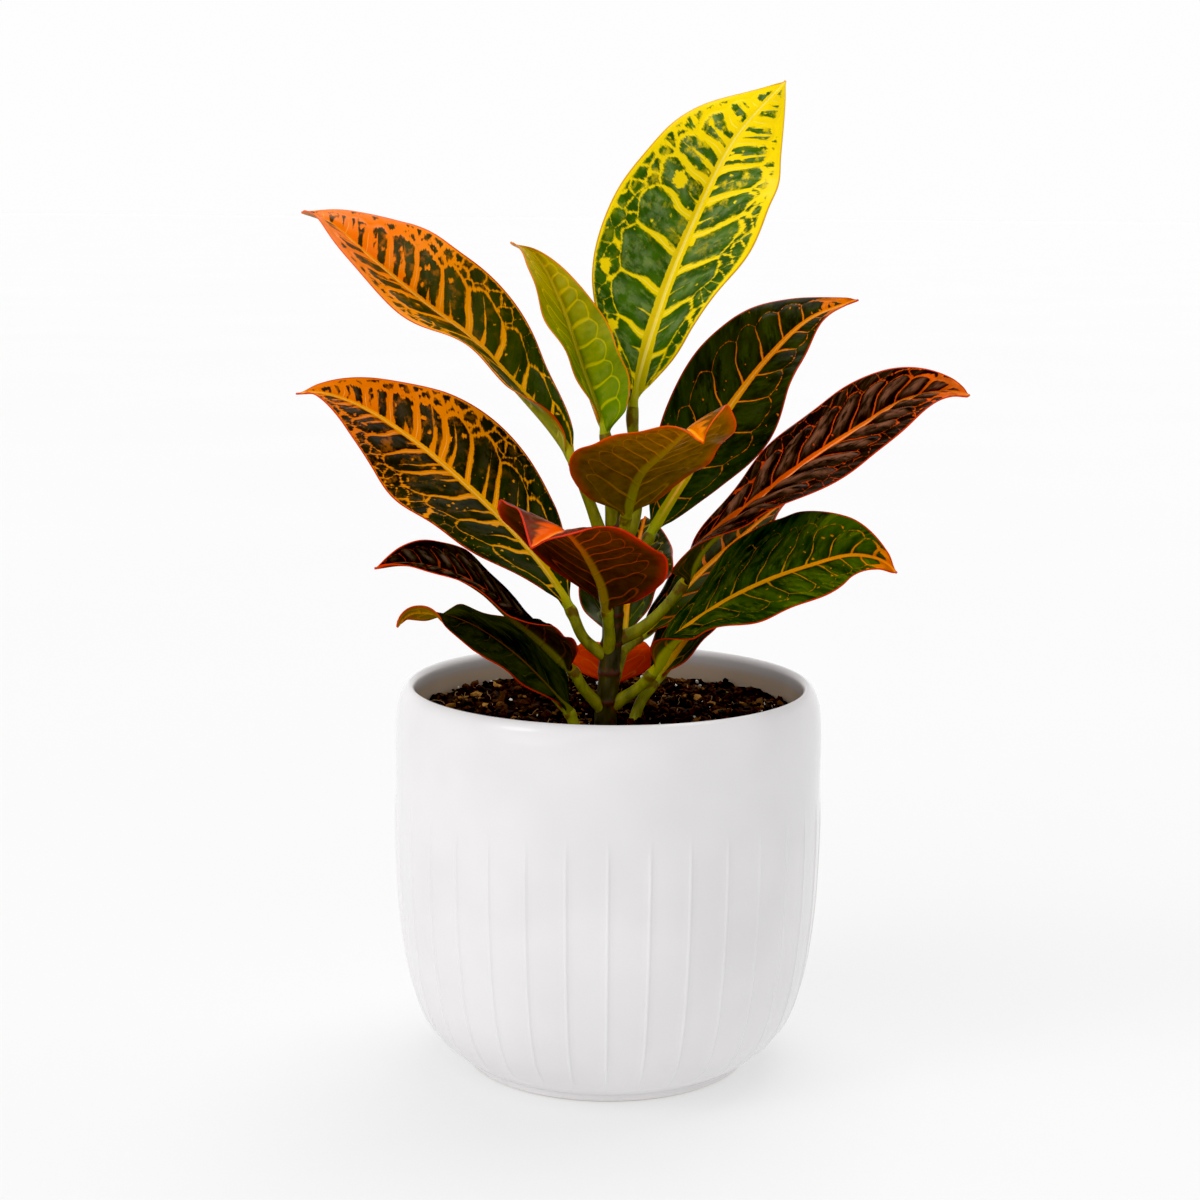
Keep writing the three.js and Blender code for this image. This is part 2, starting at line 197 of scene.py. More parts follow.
class Value:
    """A number, colour or vector in a node tree, with arithmetic."""

    def __init__(self, tree, socket):
        self.tree, self.socket = tree, socket

    def math(self, operation, *others):
        return add_node(self.tree, "Math", (self, *others), operation=operation)

    def __add__(self, other):
        return self.math("ADD", other)

    def __sub__(self, other):
        return self.math("SUBTRACT", other)

    def __mul__(self, other):
        return self.math("MULTIPLY", other)

    def __truediv__(self, other):
        return self.math("DIVIDE", other)

    def smin(self, other, rounding):
        return self.math("SMOOTH_MIN", other, rounding)

    def step(self, low, high, to_low=0.0, to_high=1.0):
        """A smooth step from to_low at low to to_high at high. low may be the larger."""
        if low > high:
            low, high, to_low, to_high = high, low, to_high, to_low
        inputs = (self, low, high, to_low, to_high)
        return add_node(self.tree, "MapRange", inputs, interpolation_type="SMOOTHSTEP")

    def ramp(self, gradient):
        """The colour of a gradient at this place."""
        node = self.tree.nodes.new("ShaderNodeValToRGB")
        elements = node.color_ramp.elements
        while len(elements) < len(stops(gradient)):
            elements.new(0.5)
        for element, (place, colour) in zip(elements, stops(gradient)):
            element.position = place
            element.color = linear(colour)
        plug(self.tree, node.inputs[0], self)
        return Value(self.tree, node.outputs[0])

    def mix(self, first, second):
        """first where this is 0 and second where it is 1."""
        return add_node(self.tree, "Mix", {0: self, 6: first, 7: second}, output=2, data_type="RGBA")


class Paint:
    """A material under construction: its tree, its principled shader and the values that feed it."""

    def __init__(self, name, roughness=0.5, **constants):
        self.material = bpy.data.materials.new(name)
        self.material.use_nodes = True
        self.tree = self.material.node_tree
        self.shader = self.tree.nodes["Principled BSDF"]
        self.shader.inputs["Roughness"].default_value = roughness
        for key, value in constants.items():
            self.shader.inputs[key.replace("_", " ")].default_value = value

    def node(self, kind, inputs=(), output=0, **settings):
        return add_node(self.tree, kind, inputs, output, **settings)

    def number(self, name):
        return self.node("Attribute", output="Fac", attribute_name=name)

    def vector(self, name):
        return self.node("Attribute", output="Vector", attribute_name=name)

    def place(self):
        """The place on the object, in metres."""
        return self.node("TexCoord", output="Object")

    def noise(self, where, scale, detail=3.0, roughness=0.55, stretch=(1, 1, 1)):
        """Noise from 0 to 1 with about scale lumps in each unit of where."""
        if stretch != (1, 1, 1):
            where = self.node("VectorMath", (where, stretch), operation="MULTIPLY")
        inputs = {"Vector": where, "Scale": scale, "Detail": detail, "Roughness": roughness}
        return self.node("TexNoise", inputs)

    def voronoi(self, where, spacing, output="Distance", feature="F1", uneven=1.0):
        inputs = {"Vector": where, "Scale": 1 / spacing, "Randomness": uneven}
        return self.node("TexVoronoi", inputs, output, voronoi_dimensions="2D", feature=feature)

    def dots(self, where, spacing, share, radius):
        """Distance to the rims of scattered dots, of which share are drawn with up to the given radius."""
        draw = self.node("SeparateColor", (self.voronoi(where, spacing, "Color"),))
        return self.voronoi(where, spacing) * spacing + draw * (radius / share) - radius

    def wobbled(self, where, scale, reach):
        """where, pushed about by up to reach in lumps of 1 / scale."""
        push = self.node("TexNoise", {"Vector": where, "Scale": scale}, "Color")
        return self.node("VectorMath", (push, (2 * reach,) * 3, where), operation="MULTIPLY_ADD")

    def chance(self, number):
        """A random number from 0 to 1 for each whole number."""
        return self.node("TexWhiteNoise", {"W": number}, "Value", noise_dimensions="1D")

    def bump(self, height, strength, distance):
        """Relief: height is 0 to 1, distance its depth in millimetres."""
        relief = self.node("Bump", {"Strength": strength, "Distance": distance * MM, "Height": height})
        plug(self.tree, self.shader.inputs["Normal"], relief)

    def finish(self, colour, roughness=None):
        plug(self.tree, self.shader.inputs["Base Color"], colour)
        if roughness is not None:
            plug(self.tree, self.shader.inputs["Roughness"], roughness)
        return self.material


# ---------------------------------------------------------------- pot
POT_HEIGHT = 127.4
POT_RADIUS = 70
FOOT_RADIUS = 46.5
FOOT_HEIGHT = 2.8
FOOT = [
    [0, 0], [30, 0], [44.5, 0], [45.6, 0.12], [46.2, 0.45], [FOOT_RADIUS, 1.0], [FOOT_RADIUS, 1.7],
    [FOOT_RADIUS, FOOT_HEIGHT], [FOOT_RADIUS + 0.5, FOOT_HEIGHT + 0.15],
]
OUTER_WALL = [
    [48.6, 3.4], [54.2, 7.6], [60.2, 14.8], [63.9, 23.0], [66.6, 34.0], [68.8, 51.0], [69.9, 72.0],
    [70.0, 98.0], [69.9, 115.0], [69.1, 121.4], [67.3, 125.9], [65.4, 127.4], [63.9, 126.2],
]
INNER_WALL = [[63.8, 121.0], [64.1, 80.0], [62.0, 42.0], [54.5, 16.0], [40.0, 8.0], [0.0, 8.0]]
OUTER_STEPS, INNER_STEPS = 14, 8  # from one point of a wall to the next
BARE_BANDS = 3  # bands of faces round the underside that have no glaze
INNER_SHADE_STARTS, INNER_SHADE_FULL = 2.5, 7  # below the lip, where the painted shade on the inner wall sets in
RIBS = 34
RIB_HEIGHT = 0.36
RIB_HALF_WIDTH = 0.6
RIB_FOOT = 5
RIB_RISE = 8
RIB_TOP = 94
RIB_FADE = 11
RIB_COLUMNS = [-1.6, -1.15, -0.8, -0.5, -0.25, 0, 0.25, 0.5, 0.8, 1.15, 1.6]  # in half widths of a rib
PANEL_COLUMNS = 5  # between two ribs


def glaze():
    paint = Paint("white_glaze", roughness=0.12, Specular_IOR_Level=0.4)
    cloud = paint.noise(paint.place(), 28, detail=2)
    outer = cloud.ramp([(0.35, 0xE2E0E1), (0.65, 0xE7E5E6)])
    # Painted shade: the inner wall takes a darker, warm grey-brown in place of the white glaze.
    inner = (cloud * 0.2 + 0.9).ramp([(0.9, 0xCEB69C), (1.0, 0xDAC4AC)])
    return paint.finish(paint.number("inside").mix(outer, inner))


def bare_clay():
    paint = Paint("bare_clay", roughness=0.8)
    grain = paint.noise(paint.place(), 900, detail=4)
    paint.bump(grain, strength=0.5, distance=0.1)
    return paint.finish(grain.ramp([(0.3, 0x7E6248), (0.7, 0xB09478)]))


def pot_columns():
    """The angle of each column of the pot and its angle from the nearest rib, in degrees."""
    pitch = 360 / RIBS
    near = np.degrees(np.array(RIB_COLUMNS) * RIB_HALF_WIDTH / POT_RADIUS)
    between = np.linspace(near[-1], pitch + near[0], PANEL_COLUMNS + 2)[1:-1]
    angles = np.concatenate([np.r_[near, between] + i * pitch for i in range(RIBS)])
    return angles, (angles + pitch / 2) % pitch - pitch / 2


def build_pot():
    wall, _, _ = centripetal(OUTER_WALL + INNER_WALL[:1], OUTER_STEPS)
    inner, _, _ = centripetal(INNER_WALL, INNER_STEPS)
    profile = np.vstack([FOOT, wall, inner[1:]])
    r, z = profile[:, :1], profile[:, 1:]
    is_inner = np.arange(len(profile))[:, None] >= np.argmax(z)
    angles, from_rib = pot_columns()
    count = len(angles)

    strength = smooth(z, RIB_FOOT, RIB_FOOT + RIB_RISE) * (1 - smooth(z, RIB_TOP - RIB_FADE, RIB_TOP))
    shape = np.exp(-((np.radians(from_rib) * POT_RADIUS / RIB_HALF_WIDTH) ** 2))
    radius = r + RIB_HEIGHT * strength * shape * ~is_inner
    turn = np.radians(angles - 90)
    rings = np.stack([radius * np.cos(turn), radius * np.sin(turn), z + 0 * radius], -1)

    # The first and the last ring are points: the middles of the underside and of the floor inside.
    places = np.vstack([rings[1:-1].reshape(-1, 3), rings[0, :1], rings[-1, :1]])
    bands = len(profile) - 3
    under, floor = len(places) - 2, len(places) - 1
    pairs = [(i, (i + 1) % count) for i in range(count)]
    faces = grid_faces(bands + 1, count).tolist()
    faces += [(under, after, i) for i, after in pairs]
    faces += [(floor, bands * count + i, bands * count + after) for i, after in pairs]
    uses = np.r_[np.repeat(np.arange(bands) < BARE_BANDS, count), np.ones(count), np.zeros(count)]
    # inside: the share of painted shade on the inner wall, full from a little below the lip downward.
    inside = is_inner * (1 - smooth(z, POT_HEIGHT - INNER_SHADE_FULL, POT_HEIGHT - INNER_SHADE_STARTS))
    numbers = {"inside": np.r_[np.repeat(inside[1:-1], count), 0, 1]}
    piece = new_piece("pot_glazed", places, faces, [glaze(), bare_clay()], uses, numbers)
    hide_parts("pot")


# ---------------------------------------------------------------- soil
SOIL_LEVEL = 115.5
SOIL_RIM_RISE = 1.6
SOIL_SIDES = 200
SOIL_RINGS = np.r_[np.linspace(0.6, 62, 70), 63.2]
SOIL_UNDER = [(63.4, 100.0), (63.0, 60.0), (61.6, 42.0), (54.0, 17.0), (40.0, 8.4), (0.6, 8.4)]
LOOSE_REACH = 63.0  # how far from the axis loose lumps may lie
LUMP_ROUGHNESS = 0.42
LUMP_BREADTH = 0.65  # as a share of its length
LUMP_TILT = 0.85
CHIPS = 3600
GRIT = 110
FIBRES = 60
FIBRE_REACH = 60
FIBRE_TAPER = np.array([0.3, 1, 1, 1, 1, 1, 1, 0.3])
FIBRE_SIDES = 5


def soil_height(x, y):
    r = np.hypot(x, y)
    lump = np.sin(0.31 * x + 1.1) * np.cos(0.27 * y) + 0.5 * np.sin(0.7 * x - 0.6 * y)
    fine = 0.5 * np.sin(1.9 * x + 0.8 * y) * np.sin(1.3 * y - 1.6 * x)
    return SOIL_LEVEL + SOIL_RIM_RISE * smooth(r, 25, 62) + lump + fine - 0.4


def earth():
    paint = Paint("dark_earth", roughness=0.95, Specular_IOR_Level=0.05)
    where = paint.place()
    grain = paint.noise(where, 700, detail=5, roughness=0.7)
    paint.bump(grain, strength=1.0, distance=0.8)
    return paint.finish(grain.ramp([(0.3, 0x050200), (0.55, 0x120600), (0.75, 0x281404)]))


def bark_chips():
    paint = Paint("bark_chips", roughness=0.8, Specular_IOR_Level=0.06)
    tone = paint.number("tone")
    grain = paint.noise(paint.place(), 1500, detail=4, roughness=0.7)
    colour = tone.ramp([(0.0, 0x040100), (0.5, 0x120500), (0.8, 0x341704), (0.94, 0x6A3E12), (1.0, 0x94642C)])
    shade = grain.step(0.3, 0.7).mix(colour, tone.ramp([(0.0, 0x0C0400), (0.8, 0x522C08), (1.0, 0xA87A3A)]))
    paint.bump(grain, strength=0.8, distance=0.3)
    return paint.finish(shade)


def pale_grit():
    paint = Paint("pale_grit", roughness=0.85)
    grain = paint.noise(paint.place(), 2500, detail=3)
    paint.bump(grain, strength=0.8, distance=0.2)
    return paint.finish(grain.ramp([(0.3, 0xBDB6A8), (0.7, 0xF2EEE4)]))


def root_fibre():
    paint = Paint("root_fibre", roughness=0.7)
    grain = paint.noise(paint.place(), 1200, detail=3)
    return paint.finish(grain.ramp([(0.3, 0x4E3014), (0.7, 0x9C7238)]))


PHI = 1.618
ICO = [(-1, PHI, 0), (1, PHI, 0), (-1, -PHI, 0), (1, -PHI, 0), (0, -1, PHI), (0, 1, PHI)]
ICO += [(0, -1, -PHI), (0, 1, -PHI), (PHI, 0, -1), (PHI, 0, 1), (-PHI, 0, -1), (-PHI, 0, 1)]
ICO_FACES = [
    (0, 11, 5), (0, 5, 1), (0, 1, 7), (0, 7, 10), (0, 10, 11), (1, 5, 9), (5, 11, 4), (11, 10, 2),
    (10, 7, 6), (7, 1, 8), (3, 9, 4), (3, 4, 2), (3, 2, 6), (3, 6, 8), (3, 8, 9), (4, 9, 5),
    (2, 4, 11), (6, 2, 10), (8, 6, 7), (9, 8, 1),
]


def turns_from(matrices):
    """Rotations made from any three by three matrices."""
    turns, _ = np.linalg.qr(matrices)
    return turns * np.sign(np.linalg.det(turns))[:, None, None]


def scattered(count, low, high, flatness, lift):
    """Rough lumps from low to high in size, strewn over the soil, none of them under the rim."""
    ball = np.array(ICO) / np.linalg.norm(ICO[0])
    size = low + (high - low) * RNG.random(count) ** 2.2  # mostly small
    r = (LOOSE_REACH - size) * np.sqrt(RNG.random(count))
    a = 2 * np.pi * RNG.random(count)
    x, y = r * np.cos(a), r * np.sin(a)
    jitter = 1 + LUMP_ROUGHNESS * (RNG.random((count, len(ICO), 1)) - 0.5) * 2
    lumps = ball[None] * jitter * np.array([1, LUMP_BREADTH, flatness])
    tumbled = turns_from(RNG.normal(size=(count, 3, 3)))
    tilt = RNG.random(count)[:, None, None] * LUMP_TILT
    flat = np.zeros((count, 3, 3))
    spin = 2 * np.pi * RNG.random(count)
    flat[:, 0, 0], flat[:, 0, 1] = np.cos(spin), -np.sin(spin)
    flat[:, 1, 0], flat[:, 1, 1] = np.sin(spin), np.cos(spin)
    flat[:, 2, 2] = 1
    turns = turns_from(flat * (1 - tilt) + tumbled * tilt)
    places = np.einsum("nij,nkj->nki", turns, lumps) * size[:, None, None]
    places += np.stack([x, y, soil_height(x, y) + size * lift], -1)[:, None]
    faces = np.array(ICO_FACES)[None] + len(ICO) * np.arange(count)[:, None, None]
    return places.reshape(-1, 3), faces.reshape(-1, 3)


def build_soil():
    a = turned(SOIL_SIDES)
    x, y = SOIL_RINGS[:, None] * np.cos(a), SOIL_RINGS[:, None] * np.sin(a)
    top = np.stack([x, y, soil_height(x, y)], -1).reshape(-1, 3)
    walls = [np.stack([np.cos(a) * r, np.sin(a) * r, 0 * a + z], -1) for r, z in SOIL_UNDER]
    places = np.vstack([top, *walls])
    faces = [face[::-1] for face in capped_faces(len(SOIL_RINGS) + len(SOIL_UNDER), SOIL_SIDES)]
    bed = new_piece("soil_bed", places, faces, [earth()])
    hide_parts("soil")

    places, faces = scattered(CHIPS, low=0.5, high=2.5, flatness=0.5, lift=0.15)
    tone = np.repeat(RNG.random(CHIPS) ** 1.3, len(ICO))
    chips = new_piece("soil_chips", places, faces, [bark_chips()], numbers={"tone": tone}, rounded=False)
    places, faces = scattered(GRIT, low=0.3, high=0.95, flatness=0.8, lift=0.75)
    grit = new_piece("soil_grit", places, faces, [pale_grit()], rounded=False)
    build_fibres()


def tube(points, radii, sides):
    """An open tube round a smooth curve through points, with a radius for each of its rings."""
    places, slopes, lengths = centripetal(points)
    at = np.linspace(0, lengths[-1], len(radii))
    centre, along = read_at(lengths, places, at), read_at(lengths, slopes, at)
    across = unit(np.cross(along, [0.3, 0.2, 1.0]))
    other = np.cross(along, across)
    a = turned(sides)[:, None]
    ring = across[:, None] * np.cos(a) + other[:, None] * np.sin(a)
    places = centre[:, None] + ring * radii[:, None, None]
    return places.reshape(-1, 3), grid_faces(len(radii), sides)


def build_fibres():
    all_places, all_faces = [], []
    for _ in range(FIBRES):
        r, a = FIBRE_REACH * math.sqrt(RNG.random()), 2 * np.pi * RNG.random()
        heading = 2 * np.pi * RNG.random()
        length = RNG.uniform(2, 7)
        points = []
        for share in np.linspace(-0.5, 0.5, 5):
            heading += RNG.uniform(-0.5, 0.5)
            x = r * math.cos(a) + share * length * math.cos(heading)
            y = r * math.sin(a) + share * length * math.sin(heading)
            shrink = min(1, (FIBRE_REACH + 2) / math.hypot(x, y))
            x, y = x * shrink, y * shrink
            points.append([x, y, float(soil_height(x, y)) + 1.3 + RNG.uniform(-0.9, 0.7)])
        places, faces = tube(points, RNG.uniform(0.09, 0.2) * FIBRE_TAPER, FIBRE_SIDES)
        all_faces.append(faces + sum(len(p) for p in all_places))
        all_places.append(places)
    fibres = new_piece("soil_fibres", np.vstack(all_places), np.vstack(all_faces), [root_fibre()])


# ---------------------------------------------------------------- stem
STEM = [
    [-1.2, -12.0, 97], [-1.2, -12.0, 115], [-0.6, -12.0, 124], [0.6, -12.0, 142], [1.4, -11.5, 157],
    [1.2, -10.5, 170], [2.0, -9.0, 179], [3.0, -8.0, 186], [3.4, -7.8, 191],
]
STEM_RADII = [3.4, 3.7, 3.5, 3.4, 3.2, 3.0, 2.5, 1.5, 0.5]
STEM_ROWS, STEM_SIDES = 240, 48
NODE_SPACING = 9.5  # from one ring of leaf scars to the next
SCAR_HEIGHT = 0.3


def bark():
    paint = Paint("stem_bark", roughness=0.55, Specular_IOR_Level=0.2)
    where = paint.place()
    streak = paint.noise(where, 260, detail=4, stretch=(1, 1, 0.25))
    patch = paint.noise(where, 190, detail=3)
    tone = streak.ramp([(0.3, 0x1C1804), (0.6, 0x3C340C), (0.8, 0x5A5214)])
    scar = paint.number("scar")
    colour = scar.step(0.25, 0.8).mix(patch.step(0.56, 0.68).mix(tone, linear(0x5A2A14)), linear(0x4A2212))
    paint.bump(streak + patch, strength=0.6, distance=0.5)
    return paint.finish(colour)


def build_stem():
    places, _, lengths = centripetal(STEM)
    centre = read_at(lengths, places, np.linspace(0, lengths[-1], STEM_ROWS))
    height = centre[:, 2:]
    radii = np.interp(height, [p[2] for p in STEM], STEM_RADII)
    scar = np.cos(np.pi * height / NODE_SPACING) ** 24
    a = turned(STEM_SIDES)
    lumps = 0.10 * np.sin(3 * a + 0.4 * height) + 0.08 * np.sin(5 * a - 0.9 * height)
    radius = radii + (SCAR_HEIGHT * scar + lumps) * np.clip(radii / 3, 0, 1)
    ring = np.stack([np.cos(a), np.sin(a), 0 * a], -1)
    places = (centre[:, None] + ring * radius[..., None]).reshape(-1, 3)
    numbers = {"scar": np.repeat(scar, STEM_SIDES)}
    faces = capped_faces(STEM_ROWS, STEM_SIDES)
    piece = new_piece("stem_bark", places, faces, [bark()], numbers=numbers)
    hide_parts("stem")


# ---------------------------------------------------------------- leaves
FORM_STATIONS = [0, 0.25, 0.6, 1]
EDGE_WAVE = 0.7
WAVES = 3.5
LEAST_HALF = 0.35  # half the breadth of a blade at its foot and tip
PETIOLE_RADIUS = 1.8
PETIOLE_ROOT_RADIUS = 2.3
KEEL_THINNING = 0.85  # how much of the keel's radius is gone at the tip
THICKNESS = 0.6
STATIONS = 190  # along a blade
PETIOLE_ROWS = 34
COLUMNS = 61  # across each face of a blade, an odd number

# petiole, midrib: points in millimetres. half, blunt, taper: for sides A and B. roll, foldA, foldB: degrees
# at the form stations. Side A lies clockwise of the leaf's heading, seen from above.
# In the first eleven rows all but the petiole was refined by a least-squares fit of the blade to points
# picked on the photograph. The last four rows were set one by one.
LEAVES = {
    "leaf_top": dict(
        petiole=[[3, -9, 171], [8, -6, 184], [8, -4, 201], [7, -2, 218]],
        midrib=[[15.8, 4.1, 250.4], [25.2, 10.2, 274.7], [39.4, 19.3, 303.3], [56.2, 26.5, 322.5]],
        half=[23, 28.1], blunt=[1.11, 1.06], taper=[0.9, 1.19],
        roll=[-102, -63, -70, -66], foldA=[38, 41, 34, -17], foldB=[28, 2, 15, -22]),
    "leaf_young": dict(
        petiole=[[1, -8.5, 179], [-0.5, -8, 196], [-2, -8, 210]],
        midrib=[[-9.6, -4.8, 231.5], [-17, -0.9, 252.4], [-24.6, 3, 265.4], [-32.8, 5.9, 270.1]],
        half=[16, 11.3], blunt=[0.41, 1.35], taper=[1.35, 0.84],
        roll=[69, 58, 55, 52], foldA=[45, 44, 31, 40], foldB=[52, 60, 45, 56]),
    "leaf_upper_left": dict(
        petiole=[[-1, -11, 172], [-7, -10.5, 189], [-12, -9, 201]],
        midrib=[[-18, -5.7, 210.2], [-31.8, -0.8, 225.5], [-45.1, 4.1, 239], [-59.8, 8.9, 249.7],
                [-77.4, 14.8, 263.5], [-93.3, 19.6, 276.2], [-101.9, 22.4, 279.2]],
        half=[20.3, 21.9], blunt=[0.91, 1.13], taper=[0.71, 0.86],
        roll=[42, 42, 52, 21], foldA=[12, -4, 30, -3], foldB=[100, 55, 48, 29]),
    "leaf_mid_left": dict(
        petiole=[[1, -12, 137], [-8, -13, 144], [-13, -11, 154]],
        midrib=[[-22.1, -8.5, 167.4], [-35.8, -3.5, 181.9], [-52.6, 2.5, 196.8], [-65.6, 7.4, 206.6],
                [-82.7, 13.4, 216.5], [-96, 17.3, 220.3], [-104.2, 19.3, 219.9]],
        half=[22.8, 23.7], blunt=[0.94, 1.07], taper=[1.23, 1.31],
        roll=[40, 43, 55, 44], foldA=[-15, -6, 13, 17], foldB=[22, 21, 21, 29]),
    "leaf_lower_left": dict(
        petiole=[[-1, -12, 120], [-8, -16, 128], [-12, -18, 135]],
        midrib=[[-22.3, -20.5, 146.1], [-31.3, -25.7, 154.3], [-39.5, -32.5, 163], [-48.9, -38.8, 169.1],
                [-62.9, -44.7, 173], [-72.1, -48.1, 172.2]],
        half=[16.7, 24.9], blunt=[1.03, 0.73], taper=[1.12, 0.99],
        roll=[35, 15, 22, 30], foldA=[16, 10, 11, 45], foldB=[54, 22, 12, 38]),
    "leaf_low_left": dict(
        petiole=[[-10, -20, 108], [-11, -21, 117], [-13, -21, 122]],
        midrib=[[-20, -24.7, 131.5], [-30.8, -28.5, 142.8], [-44.3, -33.3, 152.7], [-56.7, -37, 157],
                [-62.8, -40.5, 156.6], [-66, -43, 153]],
        half=[27, 13.5], blunt=[0.75, 0.85], taper=[1.3, 0.3],
        roll=[42, 37, 24, -53], foldA=[1, -9, -14, -3], foldB=[-1, -11, -9, -30]),
    "leaf_front_right": dict(
        petiole=[[1, -11, 168], [4, -15, 178], [5, -18, 185]],
        midrib=[[7.5, -26, 196], [10, -35.9, 202.2], [14.6, -46.9, 207.8], [18.5, -57.9, 212.7],
                [22.2, -69.9, 217.2], [26.2, -83.9, 215.1]],
        half=[23, 24.9], blunt=[0.7, 0.75], taper=[1.38, 0.93],
        roll=[-8, -10, -14, -21], foldA=[11, 21, 24, 30], foldB=[-7, -4, 1, 25]),
    "leaf_front_left": dict(
        petiole=[[0, -12, 138], [0, -16, 146], [-1, -20, 155]],
        midrib=[[-2.5, -27.4, 164.3], [-5, -36.4, 171.3], [-7.3, -47.5, 176.9], [-9.6, -58.5, 181.7],
                [-14.3, -72.5, 187.3], [-23.3, -84.5, 184.2]],
        half=[30.9, 24.2], blunt=[1.04, 0.81], taper=[1.08, 1.34],
        roll=[12, 16, 15, 5], foldA=[-3, -2, 8, 14], foldB=[10, 15, 23, 20]),
    "leaf_upper_right": dict(
        petiole=[[2, -11, 158], [9, -7, 169], [13, -4, 177]],
        midrib=[[24.8, 2.2, 195.8], [32.6, 8.4, 207.8], [39.9, 13.6, 218.3], [52.8, 21.9, 233.6],
                [65.9, 29.2, 245.1], [82.6, 34.6, 251.5]],
        half=[17.1, 19.9], blunt=[1.18, 1.01], taper=[1.61, 1.04],
        roll=[-61, -68, -43, -29], foldA=[-25, -28, 18, -6], foldB=[6, 8, 29, -1]),
    "leaf_mid_right": dict(
        petiole=[[1, -11, 143], [10, -10, 147], [18, -9, 154], [24, -9, 162]],
        midrib=[[29.9, -12.5, 174.8], [47.8, -9.5, 189.3], [63.8, -6.6, 201.7], [79.7, -3.7, 211.9],
                [94.4, -0.9, 220.5], [108, 1.9, 223.2], [116.2, 3.7, 222.3]],
        half=[23.3, 16.3], blunt=[0.49, 1.35], taper=[0.81, 0.96],
        roll=[-32, -19, -26, -42], foldA=[74, 20, 8, 30], foldB=[16, 16, 16, 48]),
    "leaf_lower_right": dict(
        petiole=[[1, -12, 122], [10, -15, 129], [14, -17, 134]],
        midrib=[[19.5, -19.7, 144.6], [33.1, -22.8, 156.1], [47.9, -25.9, 164.8], [61.7, -29.2, 170.6],
                [75.6, -31.5, 174.7], [84.5, -33.8, 173.5], [89.3, -35.2, 169.9]],
        half=[19.8, 26], blunt=[1.11, 1.16], taper=[0.96, 1.25],
        roll=[-8, -24, -31, -53], foldA=[89, 6, 1, 25], foldB=[10, -2, 10, 53]),
    "leaf_inner_right": dict(
        petiole=[[2, -10, 138], [10, -2, 143]],
        midrib=[[13, 0, 145], [30, 10, 162], [47, 18, 176], [60, 24, 186]],
        half=[14, 10], blunt=[1, 1], taper=[1.2, 1.2],
        roll=[-20, -20, -20, -20], foldA=[15, 10, 8, 8], foldB=[0, 0, 5, 8]),
    "leaf_back": dict(
        petiole=[[0, -11, 125], [4, -4, 137], [5, 0, 141]],
        midrib=[[6, 9, 150], [8, 21, 163], [12, 33, 178]],
        half=[16, 17], blunt=[0.8, 0.8], taper=[0.8, 1.2],
        roll=[0, 0, 0, 0], foldA=[45, 38, 20, 8], foldB=[15, 10, 8, 8]),
    "leaf_low_back": dict(
        petiole=[[6, -14, 107], [10, -10, 122], [15, -7, 129]],
        midrib=[[23, 0, 138], [34, 9, 151], [53, 20, 165]],
        half=[8, 13], blunt=[0.9, 0.9], taper=[1.2, 1.2],
        roll=[-15, -15, -15, -15], foldA=[20, 12, 10, 8], foldB=[20, 12, 10, 8]),
    "leaf_old_red": dict(
        petiole=[[-1, -11, 120], [1, -3, 127]],
        midrib=[[1, 4, 131], [1, 14, 134], [1, 30, 134], [0, 46, 130]],
        half=[14.5, 14.5], blunt=[0.4, 0.4], taper=[1, 1],
        roll=[0, 0, 0, 0], foldA=[10, 8, 5, 5], foldB=[10, 8, 5, 5]),
}

# How a leaf is coloured. Gradients run from its foot to its tip, and lengths are in millimetres.
# laterals: how many lateral veins a side has. slant: how far they run forward for each unit outward, on sides
# A and B, and curve: their bend. quilt: how far the blade bulges between them. gloss: its specular level.
# cell, cell_other: the two ground colours, mottled together. painted_glint, painted_sheen: painted highlights
# that stand in for the gloss of the bulging cells, a paler tone and its share, in streaks and in a soft band
# along the middle of each cell.
# vein, rib, rim: colours of the laterals, the midrib and the edge. core: the line along the middle of the
# midrib. rib_width: half width of the midrib at the blade's foot. rim_width: breadth of the edge line.
# band_width: breadth of the band of vein colour inside the edge, on sides A and B.
# least: half width of a lateral far out, and width: how much more it has at the midrib. loop: half width of
# the arcs that join the laterals. thread: the share of core colour along them near the midrib. wedge: half
# width of the short veins between them. net: spacing, half width and cell radius of the small mesh beyond
# them, and net_gone: how much thinner it is at the foot. speck, blotch: the share of spots drawn and their
# radius. bleed: how much every vein has widened on sides A and B from bleed_from to bleed_full of the way to
# the tip, and bleed_fade: the share of that which is gone at the edge. flush: the share of vein colour in
# cells towards the tip.
# ragged, soft: how uneven and how blurred the edges of veins are. fade: how far veins die away outward.
# under, under_vein, under_rib: the same colours on the underside, their own colour warmed by painted light
# shining
# through the blade. petiole: the stalk, from root to blade.
PLAIN = dict(
    slot="leaf_dark_green", laterals=11, slant=(0.5, 0.5), curve=0.35, quilt=0.7, gloss=0.12,
    cell=(0x182606, 0x1E2006), cell_other=(0x2A3E02, 0x343002), painted_glint=(0x3A4614, 0.4),
    painted_sheen=(0x3C4618, 0.35), vein=(0xE09A04, 0xE85403),
    rib=[(0, 0x98A018), (0.12, 0xC8A812), (0.3, 0xE89404), (1, 0xE86A03)], core=0xF0A838,
    rim=(0xB42C03, 0xC83403), rim_width=0.4, band_width=None, width=0.55, least=0.16, loop=0.12, thread=0.0,
    wedge=0.0, rib_width=1.6, net=None, net_gone=0.0, bleed=None, bleed_from=0.6, bleed_full=1.0,
    bleed_fade=0.0, flush=0.0, ragged=0.25, blotch=None, speck=(0.1, 0.4), soft=0.14, fade=0.5,
    under=(0x343402, 0x462C02), under_vein=(0x8A5403, 0xA04403), under_rib=(0x8E9020, 0xC07406),
    petiole=(0x8C8412, 0x9C9C14),
)
